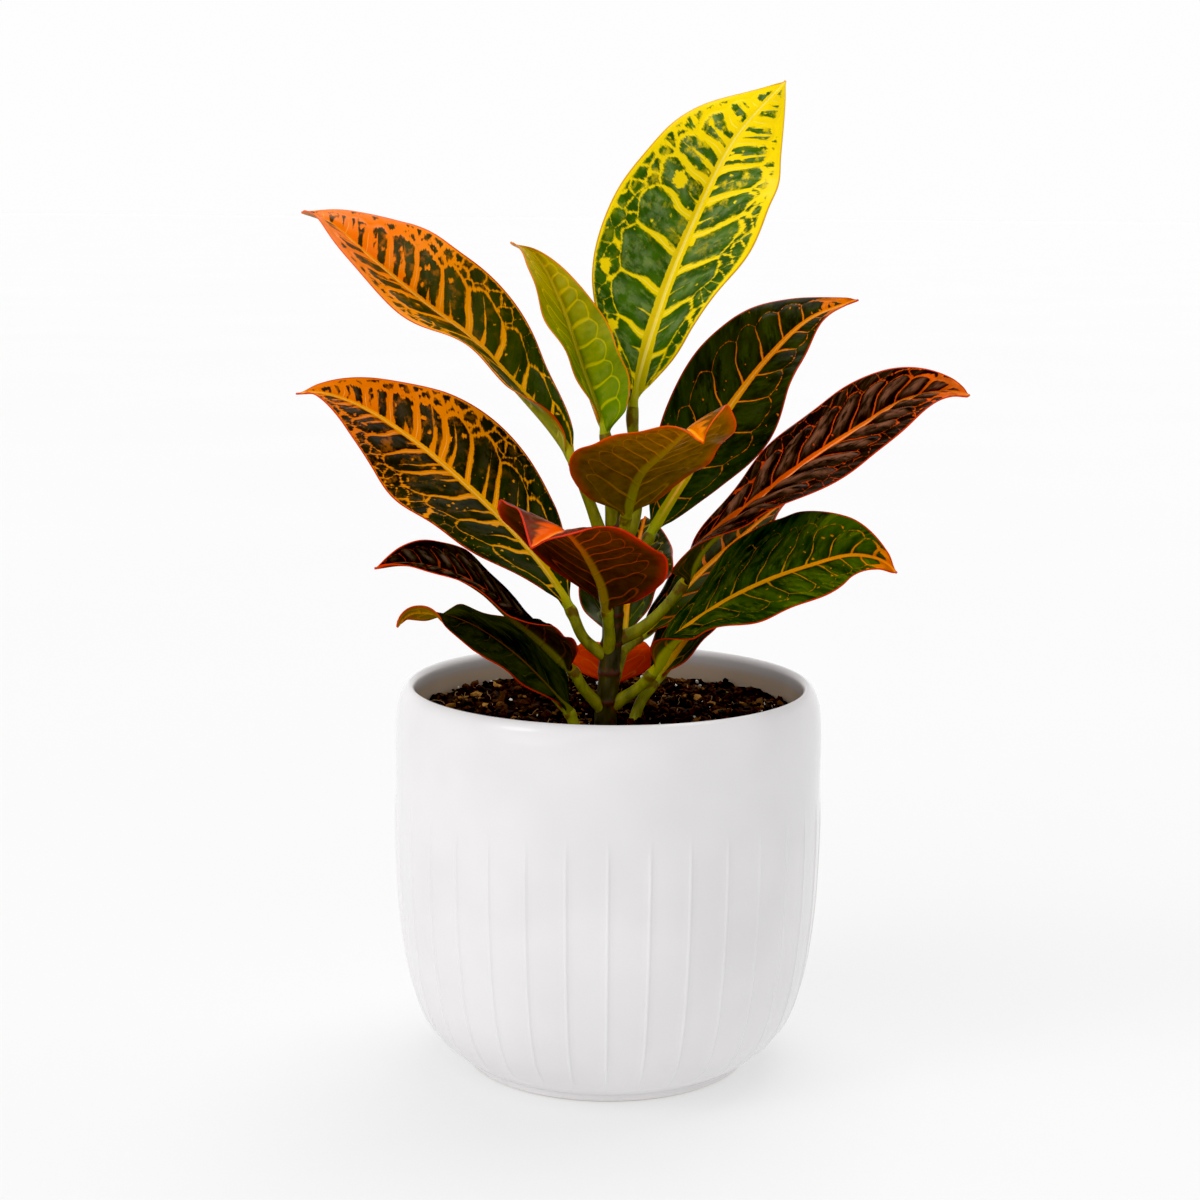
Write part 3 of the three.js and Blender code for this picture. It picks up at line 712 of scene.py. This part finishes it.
BRIGHT = dict(
    PLAIN, width=1.0, least=0.25, loop=0.2, net=(4.4, 0.05, 3.2), net_gone=0.4, wedge=0.8, rib_width=1.7,
    thread=0.5, fade=0.0, ragged=0.6, bleed=(0.7, 0.7), bleed_from=0.25, bleed_full=0.8, flush=0.4,
    blotch=(0.15, 2.0), speck=(0.14, 0.5), soft=0.28, quilt=0.5,
)
LOOKS = {
    "leaf_top": dict(
        BRIGHT, slot="leaf_yellow_green", laterals=10, slant=(0.75, 0.18), curve=0.1,
        cell=(0x1E4200, 0x285000), cell_other=(0x365C02, 0x446A02), painted_glint=(0x7C9440, 0.55),
        vein=(0xEED004, 0xFFDC0A), rib=[(0, 0xA4A818), (0.2, 0xE4C810), (1, 0xFFDC10)],
        painted_sheen=(0x84985C, 0.42), core=0xFFEC70, rim=(0xD09404, 0xE8A804), band_width=(2.4, 1.8),
        rib_width=2.9, width=1.25, net=(5.0, 0.05, 3.3), net_gone=0.1, wedge=0.6, bleed=(1.3, 1.3),
        bleed_from=0.35, bleed_full=1.0, flush=0.75, blotch=(0.35, 4.0), soft=0.4, ragged=0.7,
        speck=(0.05, 0.45), under=(0x5E7414, 0x8A8A10), under_vein=(0xA8B030, 0xC8B424),
        under_rib=(0xA0A828, 0xD0B81C)),
    "leaf_young": dict(
        BRIGHT, slot="leaf_lime", laterals=12, slant=(0.12, 1.7), curve=0.05, painted_glint=(0xA09C10, 0.3),
        cell=[(0, 0x4E7A00), (0.5, 0x767C00), (1, 0xAC8C00)],
        cell_other=[(0, 0x648800), (0.5, 0x8C8A00), (1, 0xBC9A00)], vein=(0xA8B004, 0xCCA402),
        rib=(0x949C05, 0xC8A004), core=0xB8B430, rim=(0xD07E02, 0xDC7C02), width=0.45, least=0.22,
        loop=0.22, net=None, wedge=0.0, ragged=0.1, bleed=None, flush=0.0, thread=0.0, blotch=None,
        speck=None, rib_width=1.3, quilt=0.3, painted_sheen=(0x9CA830, 0.3), under=(0x80901A, 0x908806),
        under_vein=(0xB0B830, 0xC0A82C)),
    "leaf_upper_left": dict(
        BRIGHT, slot="leaf_orange_green", cell=[(0, 0x183001), (0.6, 0x202801), (1, 0x301C01)],
        cell_other=[(0, 0x284402), (0.6, 0x383602), (1, 0x4C2C04)], painted_glint=(0x4A4018, 0.4),
        vein=[(0, 0xE8AC00), (0.45, 0xEE9400), (0.8, 0xF07400), (1, 0xF07600)],
        rib=[(0, 0x9CA018), (0.12, 0xD8A803), (0.5, 0xF09C05), (1, 0xF08803)], core=0xF8BC50,
        rim=(0xC83A02, 0xE85803), band_width=(1.0, 2.6), bleed=(1.5, 1.5), bleed_full=1.1,
        speck=(0.09, 0.5), under=[(0, 0x8E9420), (0.6, 0x7E7E24), (1, 0x946C2C)],
        under_vein=(0xB0B040, 0xB89040)),
    "leaf_mid_left": dict(
        BRIGHT, slot="leaf_orange_green", cell=[(0, 0x142402), (0.6, 0x0E0C00), (1, 0x140900)],
        cell_other=[(0, 0x223802), (0.6, 0x1E1A00), (1, 0x281400)], painted_glint=(0x443620, 0.25), gloss=0.06,
        painted_sheen=(0x4A3E2C, 0.35), speck=(0.09, 0.5),
        vein=[(0, 0xE8A400), (0.4, 0xEA9000), (0.75, 0xE07000), (1, 0xE87800)],
        rib=[(0, 0x9CA018), (0.12, 0xD0A404), (0.5, 0xEC9C05), (1, 0xEE9404)], core=0xF8BC54,
        rim=(0xC02403, 0xD03A04), band_width=(0.9, 0.6), bleed=(0.8, 0.15)),
    "leaf_lower_left": dict(
        PLAIN, slot="leaf_brown", laterals=12, quilt=0.8, gloss=0.0, painted_glint=(0x4E4030, 0.3),
        painted_sheen=(0x66503E, 0.7), cell=(0x0E0E04, 0x120A02), cell_other=(0x1A1806, 0x201406),
        vein=(0x7A2A03, 0x9C3A04), rib=[(0, 0x8A7010), (0.2, 0xA04A05), (0.6, 0xB84203), (1, 0xC85003)],
        core=0xC86028, least=0.06, width=0.22, loop=0.05, speck=None,
        under=[(0, 0x342C06), (0.4, 0x3E2A06), (1, 0x522402)],
        under_rib=[(0, 0x7A7406), (0.35, 0x5A4A04), (1, 0x5A2A03)], under_vein=(0x5A3804, 0x8A3804)),
    "leaf_low_left": dict(
        PLAIN, quilt=0.3, laterals=8, gloss=0.0, painted_glint=(0x3E4416, 0.4), cell=(0x1C2208, 0x22260A),
        cell_other=(0x2C340A, 0x34380E), painted_sheen=(0x50522A, 0.4), vein=(0x4A4A03, 0x6A4403),
        rib=[(0, 0x6A6A08), (0.2, 0x5A4404), (0.5, 0x7A4403), (1, 0xA04203)], core=0x8A5005, rib_width=0.7,
        width=0.1, least=0.06, loop=0.04, speck=None, fade=0.8, under=(0x565203, 0x866804),
        under_vein=(0xA07006, 0xB87806), under_rib=(0x8E9006, 0xD08406)),
    "leaf_front_right": dict(
        PLAIN, slot="leaf_olive_underside", laterals=12, quilt=0.3, ragged=0.0, soft=1.0, gloss=0.04,
        cell=[(0, 0x1E2A01), (0.75, 0x4A2C01), (1, 0x7A3C02)], painted_glint=(0x6A3C10, 0.3),
        cell_other=[(0, 0x2A3A02), (0.75, 0x5E3A02), (1, 0x944A03)],
        vein=[(0, 0xB07002), (0.8, 0xC86402), (1, 0xF08603)], rib=(0xD8A006, 0xF09205),
        rim=(0xD84003, 0xE05006), rim_width=0.6, bleed=(5.0, 5.0), bleed_from=0.6, bleed_fade=1.6,
        under=[(0, 0x6E5602), (0.5, 0x885E02), (0.8, 0x985C02), (1, 0xA45A02)],
        under_vein=[(0, 0xA47808), (0.5, 0xC47808), (1, 0xCC6E06)],
        under_rib=[(0, 0x8E8E04), (0.5, 0x967404), (1, 0xB46C03)]),
    "leaf_front_left": dict(
        PLAIN, slot="leaf_red_underside", laterals=12, quilt=0.3, ragged=0.0, soft=1.6, gloss=0.04,
        cell=[(0, 0x221806), (0.7, 0x4C1402), (1, 0x5E1803)], painted_glint=(0x5A2418, 0.3),
        cell_other=[(0, 0x322202), (0.7, 0x5E1E02), (1, 0x742204)],
        vein=[(0, 0xC85203), (0.8, 0xE85203), (1, 0xF06403)], rib=(0xD88A1C, 0xF06804),
        rim=(0xC82403, 0xD03018), rim_width=0.7, bleed=(6.0, 6.0), bleed_from=0.6, bleed_fade=2.2,
        under=[(0, 0x3E280C), (0.5, 0x562A06), (1, 0x622A06)],
        under_vein=[(0, 0x964203), (0.5, 0xB04003), (1, 0xB83C03)],
        under_rib=[(0, 0x8A7405), (0.45, 0x965C05), (0.7, 0xB04A04), (1, 0xB03A03)]),
    "leaf_upper_right": dict(
        PLAIN, laterals=10, quilt=0.6, gloss=0.05, vein=[(0, 0xD88403), (0.5, 0xE07002), (1, 0xEC7400)],
        cell=[(0, 0x162E00), (0.4, 0x101603), (1, 0x1A1A04)], painted_glint=(0x34420C, 0.55),
        cell_other=[(0, 0x284401), (0.4, 0x222E01), (1, 0x2E2C02)],
        rib=[(0, 0x9CA418), (0.35, 0xD89E03), (0.6, 0xF08A02), (1, 0xF08002)], core=0xF8B048, thread=0.3,
        width=0.4, least=0.08, loop=0.06, fade=0.5, rib_width=1.9, bleed=(2.6, 2.6), bleed_from=0.84,
        rim=(0x8A1802, 0xD03803), speck=(0.1, 0.3)),
    "leaf_mid_right": dict(
        PLAIN, slot="leaf_brown", laterals=12, slant=(0.9, 1.15), quilt=1.7, gloss=0.03,
        cell=(0x0A0601, 0x0C0502), cell_other=(0x1A0E04, 0x201004), painted_glint=(0x744A34, 0.3),
        painted_sheen=(0x86543C, 0.75), vein=[(0, 0xA03403), (0.5, 0xD04204), (0.85, 0xE05404), (1, 0xF28028)],
        rib=[(0, 0xA09414), (0.12, 0xC05A03), (0.5, 0xE05A03), (1, 0xF89428)], core=0xF8A468, width=0.35,
        least=0.1, loop=0.1, net=(6.5, 0.02, 5.3), fade=0.45, bleed=(2.0, 1.2), bleed_from=0.8,
        rib_width=2.0, speck=(0.05, 0.35), under=(0x424203, 0x422402), under_rib=(0x8E9006, 0xA05804)),
    "leaf_lower_right": dict(
        PLAIN, quilt=0.9, gloss=0.0, cell=(0x142403, 0x1C2C03), painted_glint=(0x64700E, 0.6),
        cell_other=(0x2C4004, 0x3A5004), painted_sheen=(0x505C12, 0.45),
        vein=[(0, 0xA86A04), (0.6, 0xC88A04), (1, 0xE07403)],
        rib=[(0, 0x9C9C14), (0.1, 0xD08A05), (0.5, 0xE89A04), (1, 0xEC8203)], core=0xEEA030, width=0.2,
        least=0.08, loop=0.05, fade=0.6, bleed=(2.4, 2.4), bleed_from=0.88, rib_width=1.7,
        speck=(0.12, 0.35), under=(0x424803, 0x422402), under_rib=(0x8E9006, 0xA05804)),
    "leaf_inner_right": dict(
        PLAIN, laterals=9, cell=(0x101604, 0x241A08), vein=(0xC05803, 0xD06803), width=0.7,
        under=(0x343403, 0x524205)),
    "leaf_back": dict(PLAIN, laterals=8, speck=(0.4, 0.6), vein=(0x526402, 0xA07A03), fade=0.8),
    "leaf_low_back": dict(PLAIN, laterals=8, vein=(0x866403, 0xB05803), fade=0.6),
    "leaf_old_red": dict(
        PLAIN, slot="leaf_old_red", laterals=8, quilt=0.15, gloss=0.0, cell=(0xB43000, 0xC43800),
        cell_other=(0xC43C00, 0xD04400), vein=(0xC85204, 0xD05806), speck=None, painted_glint=(0xC84A08, 0.3),
        painted_sheen=(0xC44408, 0.3), rib=(0xB86204, 0xC85803), rim=(0xB02402, 0xB82A02),
        under=(0xAC2E00, 0xBC3600), under_vein=(0xB84203, 0xC04803)),
}
WARM_SHINE = (1.0, 0.83, 0.6, 1.0)
LOOP_NEAR = 0.6  # where the loops lie, as shares of the way out
LOOP_FAR = 0.74


def between_stations(values, s):
    values, s = np.asarray(values, float), np.asarray(s)
    out = np.full(s.shape, values[-1])
    for i in (2, 1, 0):
        low, high = FORM_STATIONS[i], FORM_STATIONS[i + 1]
        out = np.where(s <= high, values[i] + (values[i + 1] - values[i]) * smooth(s, low, high), out)
    return out


def width_share(s, blunt, taper):
    widest = blunt / (blunt + taper)
    return (s / widest) ** blunt * ((1 - s) / (1 - widest)) ** taper


def leaf_spine(leaf):
    """The rings of a leaf, from the root of its stalk to its tip.

    Their centres, the directions to side A and up, their shares of the blade and of the stalk, and the
    blade's length.
    """
    places, slopes, lengths = centripetal(leaf["petiole"] + leaf["midrib"])
    foot_length = lengths[CURVE_STEPS * (len(leaf["petiole"]) - 1)]
    blade_length = lengths[-1] - foot_length
    stalk_at = np.linspace(0, 1, PETIOLE_ROWS, endpoint=False)
    s_at = np.linspace(0, 1, STATIONS)
    s_at = s_at - 0.06 * np.sin(2 * np.pi * s_at) / np.pi  # closer together at both ends
    at = np.r_[stalk_at * foot_length, foot_length + s_at * blade_length]
    s = np.r_[0 * stalk_at, s_at]
    stalk = np.r_[stalk_at, 1 + 0 * s_at]
    centre, tangent = read_at(lengths, places, at), unit(read_at(lengths, slopes, at))
    heading = np.array(leaf["midrib"][-1], float) - leaf["petiole"][-1]
    heading[2] = 0
    sideways = np.cross(heading / np.linalg.norm(heading), [0, 0, 1])
    level = unit(sideways - tangent * (tangent @ sideways)[:, None])
    roll = -np.radians(between_stations(leaf["roll"], s))[:, None]
    side = level * np.cos(roll) + np.cross(tangent, level) * np.sin(roll)
    return centre, side, np.cross(side, tangent), s[:, None], stalk[:, None], blade_length


def lateral_veins(look, blade_length, seed, s, t, x, y, half):
    """How many laterals lie before each vertex, how far they sweep forward and how far apart they are."""
    outward = np.abs(t)
    warp = 0.9 * np.sin(0.17 * x + seed) * np.cos(0.21 * y + 2 * seed)
    warp += 0.5 * np.sin(0.43 * x - 0.37 * y + 3 * seed)
    started = (x + warp * smooth(outward, 0, 0.3)) / blade_length
    slant = np.where(t > 0, *look["slant"])
    sweep = half * (slant * outward + look["curve"] * outward**2)
    started = started - sweep / blade_length
    crowd = 0.8 * started + 0.2 * np.clip(started, 0, 1) ** 3
    phase = look["laterals"] * crowd + np.where(t > 0, 0.0, 0.45) + 40 + seed
    gap = blade_length / (look["laterals"] * (0.8 + 0.6 * np.clip(started, 0, 1) ** 2))
    return phase, sweep, gap


def quilting(look, seed, s, t, x, half, phase):
    """How far the blade bulges between its laterals and beyond their loops."""
    outward = np.abs(t)
    part = phase % 1
    pillow = (4 * part * (1 - part)) ** 0.7
    loop = LOOP_NEAR + (LOOP_FAR - LOOP_NEAR) * np.sin(np.pi * part)
    inner = smooth(outward, 0.02, 0.22) * (1 - smooth(outward, loop - 0.1, loop))
    outer = smooth(outward, loop, loop + 0.08) * (1 - smooth(outward, 0.88, 1))
    small = np.abs(np.sin(1.5 * np.pi * phase)) ** 0.7
    broadness = np.clip(half / 14, 0, 1)
    rise = look["quilt"] * broadness * (pillow * inner + 0.45 * small * outer)
    rise += 0.25 * broadness * np.sin(0.23 * x + seed) * outward
    return rise * smooth(s, 0.03, 0.3)


def build_leaf(name, leaf, look):
    centre, side, up, s, stalk, blade_length = leaf_spine(leaf)
    rows = len(centre)
    seed = float(sum(map(ord, name)) % 97)
    column = np.linspace(-1, 1, COLUMNS)
    t = (np.sign(column) * np.abs(column) ** 1.25)[None, :]
    outward = np.abs(t)
    halves = [np.maximum(h * width_share(s, b, p), LEAST_HALF)
              for h, b, p in zip(leaf["half"], leaf["blunt"], leaf["taper"])]
    half = np.where(t > 0, *halves)
    fold = np.radians(np.where(t > 0, between_stations(leaf["foldA"], s), between_stations(leaf["foldB"], s)))
    reach = outward * half
    x, y = s * blade_length + 0 * t, reach * np.sign(t)
    phase, sweep, gap = lateral_veins(look, blade_length, seed, s, t, x, y, half)
    rise = quilting(look, seed, s, t, x, half, phase)

    wave = EDGE_WAVE * t * t * np.sin(2 * np.pi * WAVES * s + np.sign(t))
    keel_radius = PETIOLE_RADIUS * (1 - KEEL_THINNING * s)
    keel = keel_radius * 1.35 * np.exp(-((reach / (0.85 * keel_radius)) ** 2))
    groove = 0.25 * np.exp(-((reach / 1.2) ** 2)) * smooth(s, 0.03, 0.1)
    plate = THICKNESS / 2 * np.sqrt(1 - 0.9 * outward**6)
    near_rib = np.exp(-(reach**2))
    radius = PETIOLE_ROOT_RADIUS + (PETIOLE_RADIUS - PETIOLE_ROOT_RADIUS) * smooth(stalk, 0, 0.6)
    joint = np.exp(-(((stalk - 0.93) / 0.07) ** 2)) + 0.8 * np.exp(-((stalk / 0.14) ** 2))
    radius = radius * (1 + 0.16 * joint * (s == 0))
    blade = np.where(stalk < 1, 0, smooth(s, -0.01, 0.07))
    angle = np.pi - (np.arange(COLUMNS) + 0.5) * np.pi / COLUMNS

    def surface(face):
        """The upper face's vertices for 1 and the lower's for -1, from a round stalk to a folded blade."""
        off = face * plate + rise - (groove if face > 0 else keel)
        lift = reach * np.sin(fold) + (off + wave) * np.cos(fold)
        across = np.sign(t) * (reach * np.cos(fold) - (off + wave) * np.sin(fold))
        across = across * (1 - near_rib) + near_rib * np.sign(t) * reach
        lift = lift * (1 - near_rib) + near_rib * (off if face > 0 else -plate - keel + rise)
        ring_x, ring_y = radius * np.cos(angle), face * radius * np.sin(angle)
        across = ring_x + (across - ring_x) * blade
        lift = ring_y + (lift - ring_y) * blade
        return centre[:, None] + side[:, None] * across[..., None] + up[:, None] * lift[..., None]

    def both(values):
        """Values of the upper face's vertices, repeated for the lower face's, as one row."""
        values = np.broadcast_to(values, (rows, COLUMNS, *values.shape[2:]))
        return np.concatenate([values, values[:, ::-1]], axis=1).reshape(-1, *values.shape[2:])

    places = np.concatenate([surface(1), surface(-1)[:, ::-1]], axis=1).reshape(-1, 3)
    numbers = {
        "along": s, "stalk": stalk, "out": outward, "half": half, "side": np.sign(t), "phase": phase,
        "gap": gap, "flat": np.stack([x + 37 * seed, y, 0 * x + seed], -1),
        "swept": np.stack([x - sweep + 37 * seed, y, 0 * x + seed], -1),
    }
    numbers = {key: both(values) for key, values in numbers.items()}
    ring = 2 * COLUMNS
    uses = np.tile((np.arange(ring) >= COLUMNS - 1).astype(int), rows - 1)
    uses[: PETIOLE_ROWS * ring] = 2
    uses = np.r_[uses, 2, 1]
    materials = [blade_top(name, look), blade_under(name, look), stalk_skin(name, look)]
    piece = new_piece(name + "_grown", places, capped_faces(rows, ring), materials, uses, numbers)
    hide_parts(name)


def vein_lines(paint):
    """The values that place a blade's veins, in millimetres where they are lengths."""
    phase, out, half = paint.number("phase"), paint.number("out"), paint.number("half")
    gap, flat, swept = paint.number("gap"), paint.vector("flat"), paint.vector("swept")
    part = phase.math("FRACT")
    scallop = (part * math.pi).math("SINE") * (LOOP_FAR - LOOP_NEAR) + LOOP_NEAR
    sway = (paint.noise(flat, 0.16, detail=1) - 0.5) * 0.12
    past_loop = (out - scallop - sway) * half
    lateral = (part - 0.5).math("ABSOLUTE") * -1 + 0.5
    return dict(
        out=out, gap=gap, flat=flat, swept=swept, part=part, past_loop=past_loop,
        lateral=lateral * gap, whole=phase.math("FLOOR"), from_rib=out * half, edge=(out * -1 + 1) * half,
    )


def blade_top(name, look):
    paint = Paint(name + "_top", roughness=0.36, Specular_IOR_Level=look["gloss"], Specular_Tint=WARM_SHINE)
    v = vein_lines(paint)
    along, side = paint.number("along"), paint.number("side")
    out, gap, flat = v["out"], v["gap"], v["flat"]
    rough = paint.wobbled(paint.wobbled(flat, 0.9, 0.35), 0.25, 0.8)
    beyond = v["past_loop"].math("MAXIMUM", 0.0)
    before = (v["past_loop"] * -1).math("MAXIMUM", 0.0)
    narrow = (out * -1.3 + 1).math("MAXIMUM", 0.0)
    lateral = v["lateral"] - narrow * look["width"] - look["least"] + beyond * 0.8
    veins = lateral.smin(v["past_loop"].math("ABSOLUTE") - look["loop"], 0.5)
    if look["net"]:
        spacing, line, dot = look["net"]
        net = paint.voronoi(rough, spacing, feature="DISTANCE_TO_EDGE", uneven=0.85) * spacing - line
        round_ = paint.voronoi(rough, spacing, uneven=0.85) * -spacing + dot
        gone = along.step(0.1, 0.6, look["net_gone"], 0.0)
        veins = veins.smin(net.smin(round_, 0.4) + gone + before * 2, 0.5)
    if look["wedge"]:
        middle = (paint.chance(v["whole"] + 0.5) - 0.5) * 0.35 + 0.5
        length = paint.chance(v["whole"] + 7.3) * 0.4 + 0.06
        wedge = (v["part"] - middle).math("ABSOLUTE") * gap - look["wedge"] + out / length * look["wedge"]
        veins = veins.smin(wedge, 0.3)
    if look["speck"]:
        veins = veins.smin(paint.dots(rough, 2.3, *look["speck"]), 0.2)
    if look["blotch"]:
        far = paint.wobbled(paint.wobbled(flat, 0.5, 1.2), 0.15, 2.5)
        veins = veins.smin(paint.dots(far, 17, *look["blotch"]), 0.8)
    fine = paint.noise(flat, 0.75, detail=4, roughness=0.65)
    streaks = paint.noise(v["swept"], 1.0, detail=3, roughness=0.6, stretch=(0.9, 0.22, 1))
    ragged = along.step(0.1, 0.9, 0.7, 1.7) * look["ragged"]
    veins = veins + (fine - 0.5) * ragged * 1.2 + (streaks - 0.5) * ragged * 3.0
    if look["bleed"]:
        spread = out * -look["bleed_fade"] + 1
        bleed = side.step(-0.1, 0.1, look["bleed"][1], look["bleed"][0])
        veins = veins - along.step(look["bleed_from"], look["bleed_full"]) * bleed * spread
    foot = along.step(0.09, 0.02)
    if look["band_width"]:
        band_a, band_b = look["band_width"]
        wide = along.step(0.2, 0.65, 0.4, 1.0) * side.step(-0.1, 0.1, band_b, band_a)
        veins = veins.smin(v["edge"] - wide + (fine - 0.5) * 1.6 + foot * 3, 0.6)
    shown = veins.step(look["soft"], -look["soft"])
    if look["fade"]:
        weak = paint.noise(flat, 0.22, detail=2).step(0.35, 0.6)
        shown = shown * (weak * (out * look["fade"]) * -1 + 1)
    mottle = paint.noise(v["swept"], 0.2, detail=4, stretch=(1, 0.6, 1))
    cell = mottle.step(0.36, 0.66).mix(along.ramp(look["cell"]), along.ramp(look["cell_other"]))
    # Painted highlight: paler streaks over the cells stand in for glints of gloss.
    tone, share = look["painted_glint"]
    painted_glint = paint.noise(v["swept"], 0.35, detail=5, roughness=0.65, stretch=(1, 0.5, 1)).step(0.5, 0.68)
    cell = (painted_glint * share).mix(cell, linear(tone))
    # Painted highlight: a soft paler band along the middle of each cell, where its bulge would catch the
    # light.
    tone, share = look["painted_sheen"]
    pillow = v["part"].step(0.1, 0.4) * v["part"].step(0.85, 0.5) * out.step(0.06, 0.3)
    pillow = pillow * v["past_loop"].step(0.3, -1.8) * paint.noise(v["swept"], 0.3, detail=4).step(0.38, 0.6)
    cell = (pillow * share).mix(cell, linear(tone))
    vein = along.ramp(look["vein"])
    if look["flush"]:
        flush = paint.noise(flat, 0.28, detail=4, roughness=0.6).step(0.5, 0.7) * along.step(0.25, 0.8)
        cell = (flush * look["flush"]).mix(cell, vein)
    colour = shown.mix(cell, vein)
    thread = v["lateral"].step(0.22, 0.04) * out.step(0.5, 0.25) * look["thread"]
    colour = thread.mix(colour, linear(look["core"]))
    rib_half = along * (-0.72 * look["rib_width"]) + look["rib_width"]
    from_rib = v["from_rib"] + (streaks - 0.5) * (1.2 * look["ragged"])
    colour = (from_rib - rib_half).step(0.12, -0.12).mix(colour, along.ramp(look["rib"]))
    core = (v["from_rib"] - rib_half * 0.22).step(0.1, -0.1) * along.step(0.02, 0.16) * 0.7
    colour = core.mix(colour, linear(look["core"]))
    rim_line = v["edge"] + (fine - 0.5) * 0.3 + foot * 2
    rim = rim_line.step(look["rim_width"] + 0.12, look["rim_width"] - 0.12)
    colour = rim.mix(colour, along.ramp(look["rim"]))
    grain = paint.noise(flat, 1.6, detail=3)
    paint.bump(shown * -0.5 + grain * 0.35, strength=0.55, distance=0.3)
    return paint.finish(colour, grain.step(0.3, 0.7, 0.28, 0.42))


def blade_under(name, look):
    paint = Paint(name + "_under", roughness=0.45, Specular_IOR_Level=look["gloss"], Specular_Tint=WARM_SHINE)
    v = vein_lines(paint)
    along, out, flat = paint.number("along"), v["out"], v["flat"]
    beyond = v["past_loop"].math("MAXIMUM", 0.0)
    lateral = v["lateral"] - (out * -1 + 1) * 0.3 - 0.1 + beyond
    loop = v["past_loop"].math("ABSOLUTE") - 0.14
    shown = lateral.smin(loop, 0.2).step(0.3, -0.1)
    weak = paint.noise(flat, 0.2, detail=2).step(0.3, 0.65)
    shown = shown * (weak * out * -0.75 + 1) * 0.85
    mottle = paint.noise(flat, 0.25, detail=4)
    # The underside colours hold painted light shining through the blade as well as the blade's own colour.
    base = along.ramp(look["under"])
    dark = mottle.step(0.35, 0.7).mix(base, along.ramp(darker(look["under"], 0.78)))
    colour = shown.mix(dark, along.ramp(look["under_vein"]))
    warm = v["edge"].step(4.5, 0.4) * along.step(0.02, 0.15) * 0.35
    colour = warm.mix(colour, along.ramp(look["rim"]))
    keel = along * (-0.8 * 1.7) + 1.7
    rib = (v["from_rib"] - keel).step(0.35, -0.35)
    colour = rib.mix(colour, along.ramp(look["under_rib"]))
    rim = v["edge"].step(0.75, 0.4) * along.step(0.02, 0.09)
    colour = rim.mix(colour, along.ramp(look["rim"]))
    paint.bump(shown + mottle * 0.3, strength=0.6, distance=0.3)
    return paint.finish(colour, mottle.step(0.3, 0.7, 0.38, 0.52))


def stalk_skin(name, look):
    paint = Paint(name + "_stalk", roughness=0.42, Specular_IOR_Level=0.12)
    where = paint.place()
    stalk = paint.number("stalk")
    streak = paint.noise(where, 300, detail=3, stretch=(1, 1, 0.4))
    patch = paint.noise(where, 170, detail=3)
    base = stalk.ramp(look["petiole"])
    tone = streak.step(0.3, 0.7).mix(base, stalk.ramp(darker(look["petiole"], 0.72)))
    ends = stalk.step(0.78, 0.92) + stalk.step(0.25, 0.02)
    red = (patch + ends * 0.14).step(0.58, 0.7) * 0.7
    paint.bump(streak, strength=0.4, distance=0.3)
    return paint.finish(red.mix(tone, linear(0x5E2A0E)))


# ---------------------------------------------------------------- studio
CEILING = 0.5  # the ceiling's brightness beside the horizon's
HORIZON = 0.988
KEY = 0.9
GLEAM = 0.3  # a small light whose reflection shows on the rim
TOP = 1.45
BLACK = 0.004
FLOOR_REACH = 200.0  # metres
FLOOR_DARK, FLOOR_LIGHT = 0x9F9F9F, 0xA1A1A1
FLOOR_GLOW = 0.523  # keeps the shadow on the floor faint
WHITE = (1, 1, 1, 1)


def studio_sky():
    """A white horizon under a dimmer ceiling, so that dark glossy blades stay dark."""
    world = bpy.data.worlds.new("studio")
    world.use_nodes = True
    tree = world.node_tree
    place = add_node(tree, "TexCoord", (), "Generated")
    height = add_node(tree, "SeparateXYZ", (place,), "Z")
    background = tree.nodes["Background"]
    background.inputs["Color"].default_value = WHITE
    plug(tree, background.inputs["Strength"], height.step(0.12, 0.5, HORIZON, CEILING))
    bpy.context.scene.world = world


def add_sun(name, towards, strength, spread):
    """A soft light as even far off as it is near. towards points from the object to the light."""
    data = bpy.data.lights.new(name, "SUN")
    data.energy = strength
    data.angle = math.radians(spread)
    lamp = bpy.data.objects.new(name, data)
    lamp.rotation_euler = Vector(towards).to_track_quat("Z", "Y").to_euler()
    bpy.context.collection.objects.link(lamp)


def build_floor():
    paint = Paint("pale_floor", roughness=0.7, Specular_IOR_Level=0.1, Emission_Color=WHITE,
                  Emission_Strength=FLOOR_GLOW)
    tone = paint.noise(paint.place(), 2.0, detail=2).ramp([(0.3, FLOOR_DARK), (0.7, FLOOR_LIGHT)])
    corners = [(x * FLOOR_REACH, y * FLOOR_REACH, 0) for x, y in ((-1, -1), (1, -1), (1, 1), (-1, 1))]
    mesh = bpy.data.meshes.new("floor")
    mesh.from_pydata(corners, [], [(0, 1, 2, 3)])
    mesh.materials.append(paint.finish(tone))
    floor = bpy.data.objects.new("floor", mesh)
    bpy.context.collection.objects.link(floor)


def build_studio():
    build_floor()
    studio_sky()
    add_sun("key", (-0.62, -0.62, 0.75), KEY, 60)
    add_sun("top", (0.15, 0.35, 1.0), TOP, 45)
    add_sun("gleam", (-0.85, -0.53, 0.84), GLEAM, 18)
    view = bpy.context.scene.view_settings
    view.view_transform = "Standard"
    view.use_curve_mapping = True
    view.curve_mapping.black_level = (BLACK,) * 3


add_camera()
build_pot()
build_soil()
build_stem()
for leaf_name, leaf_row in LEAVES.items():
    build_leaf(leaf_name, leaf_row, LOOKS[leaf_name])
build_studio()
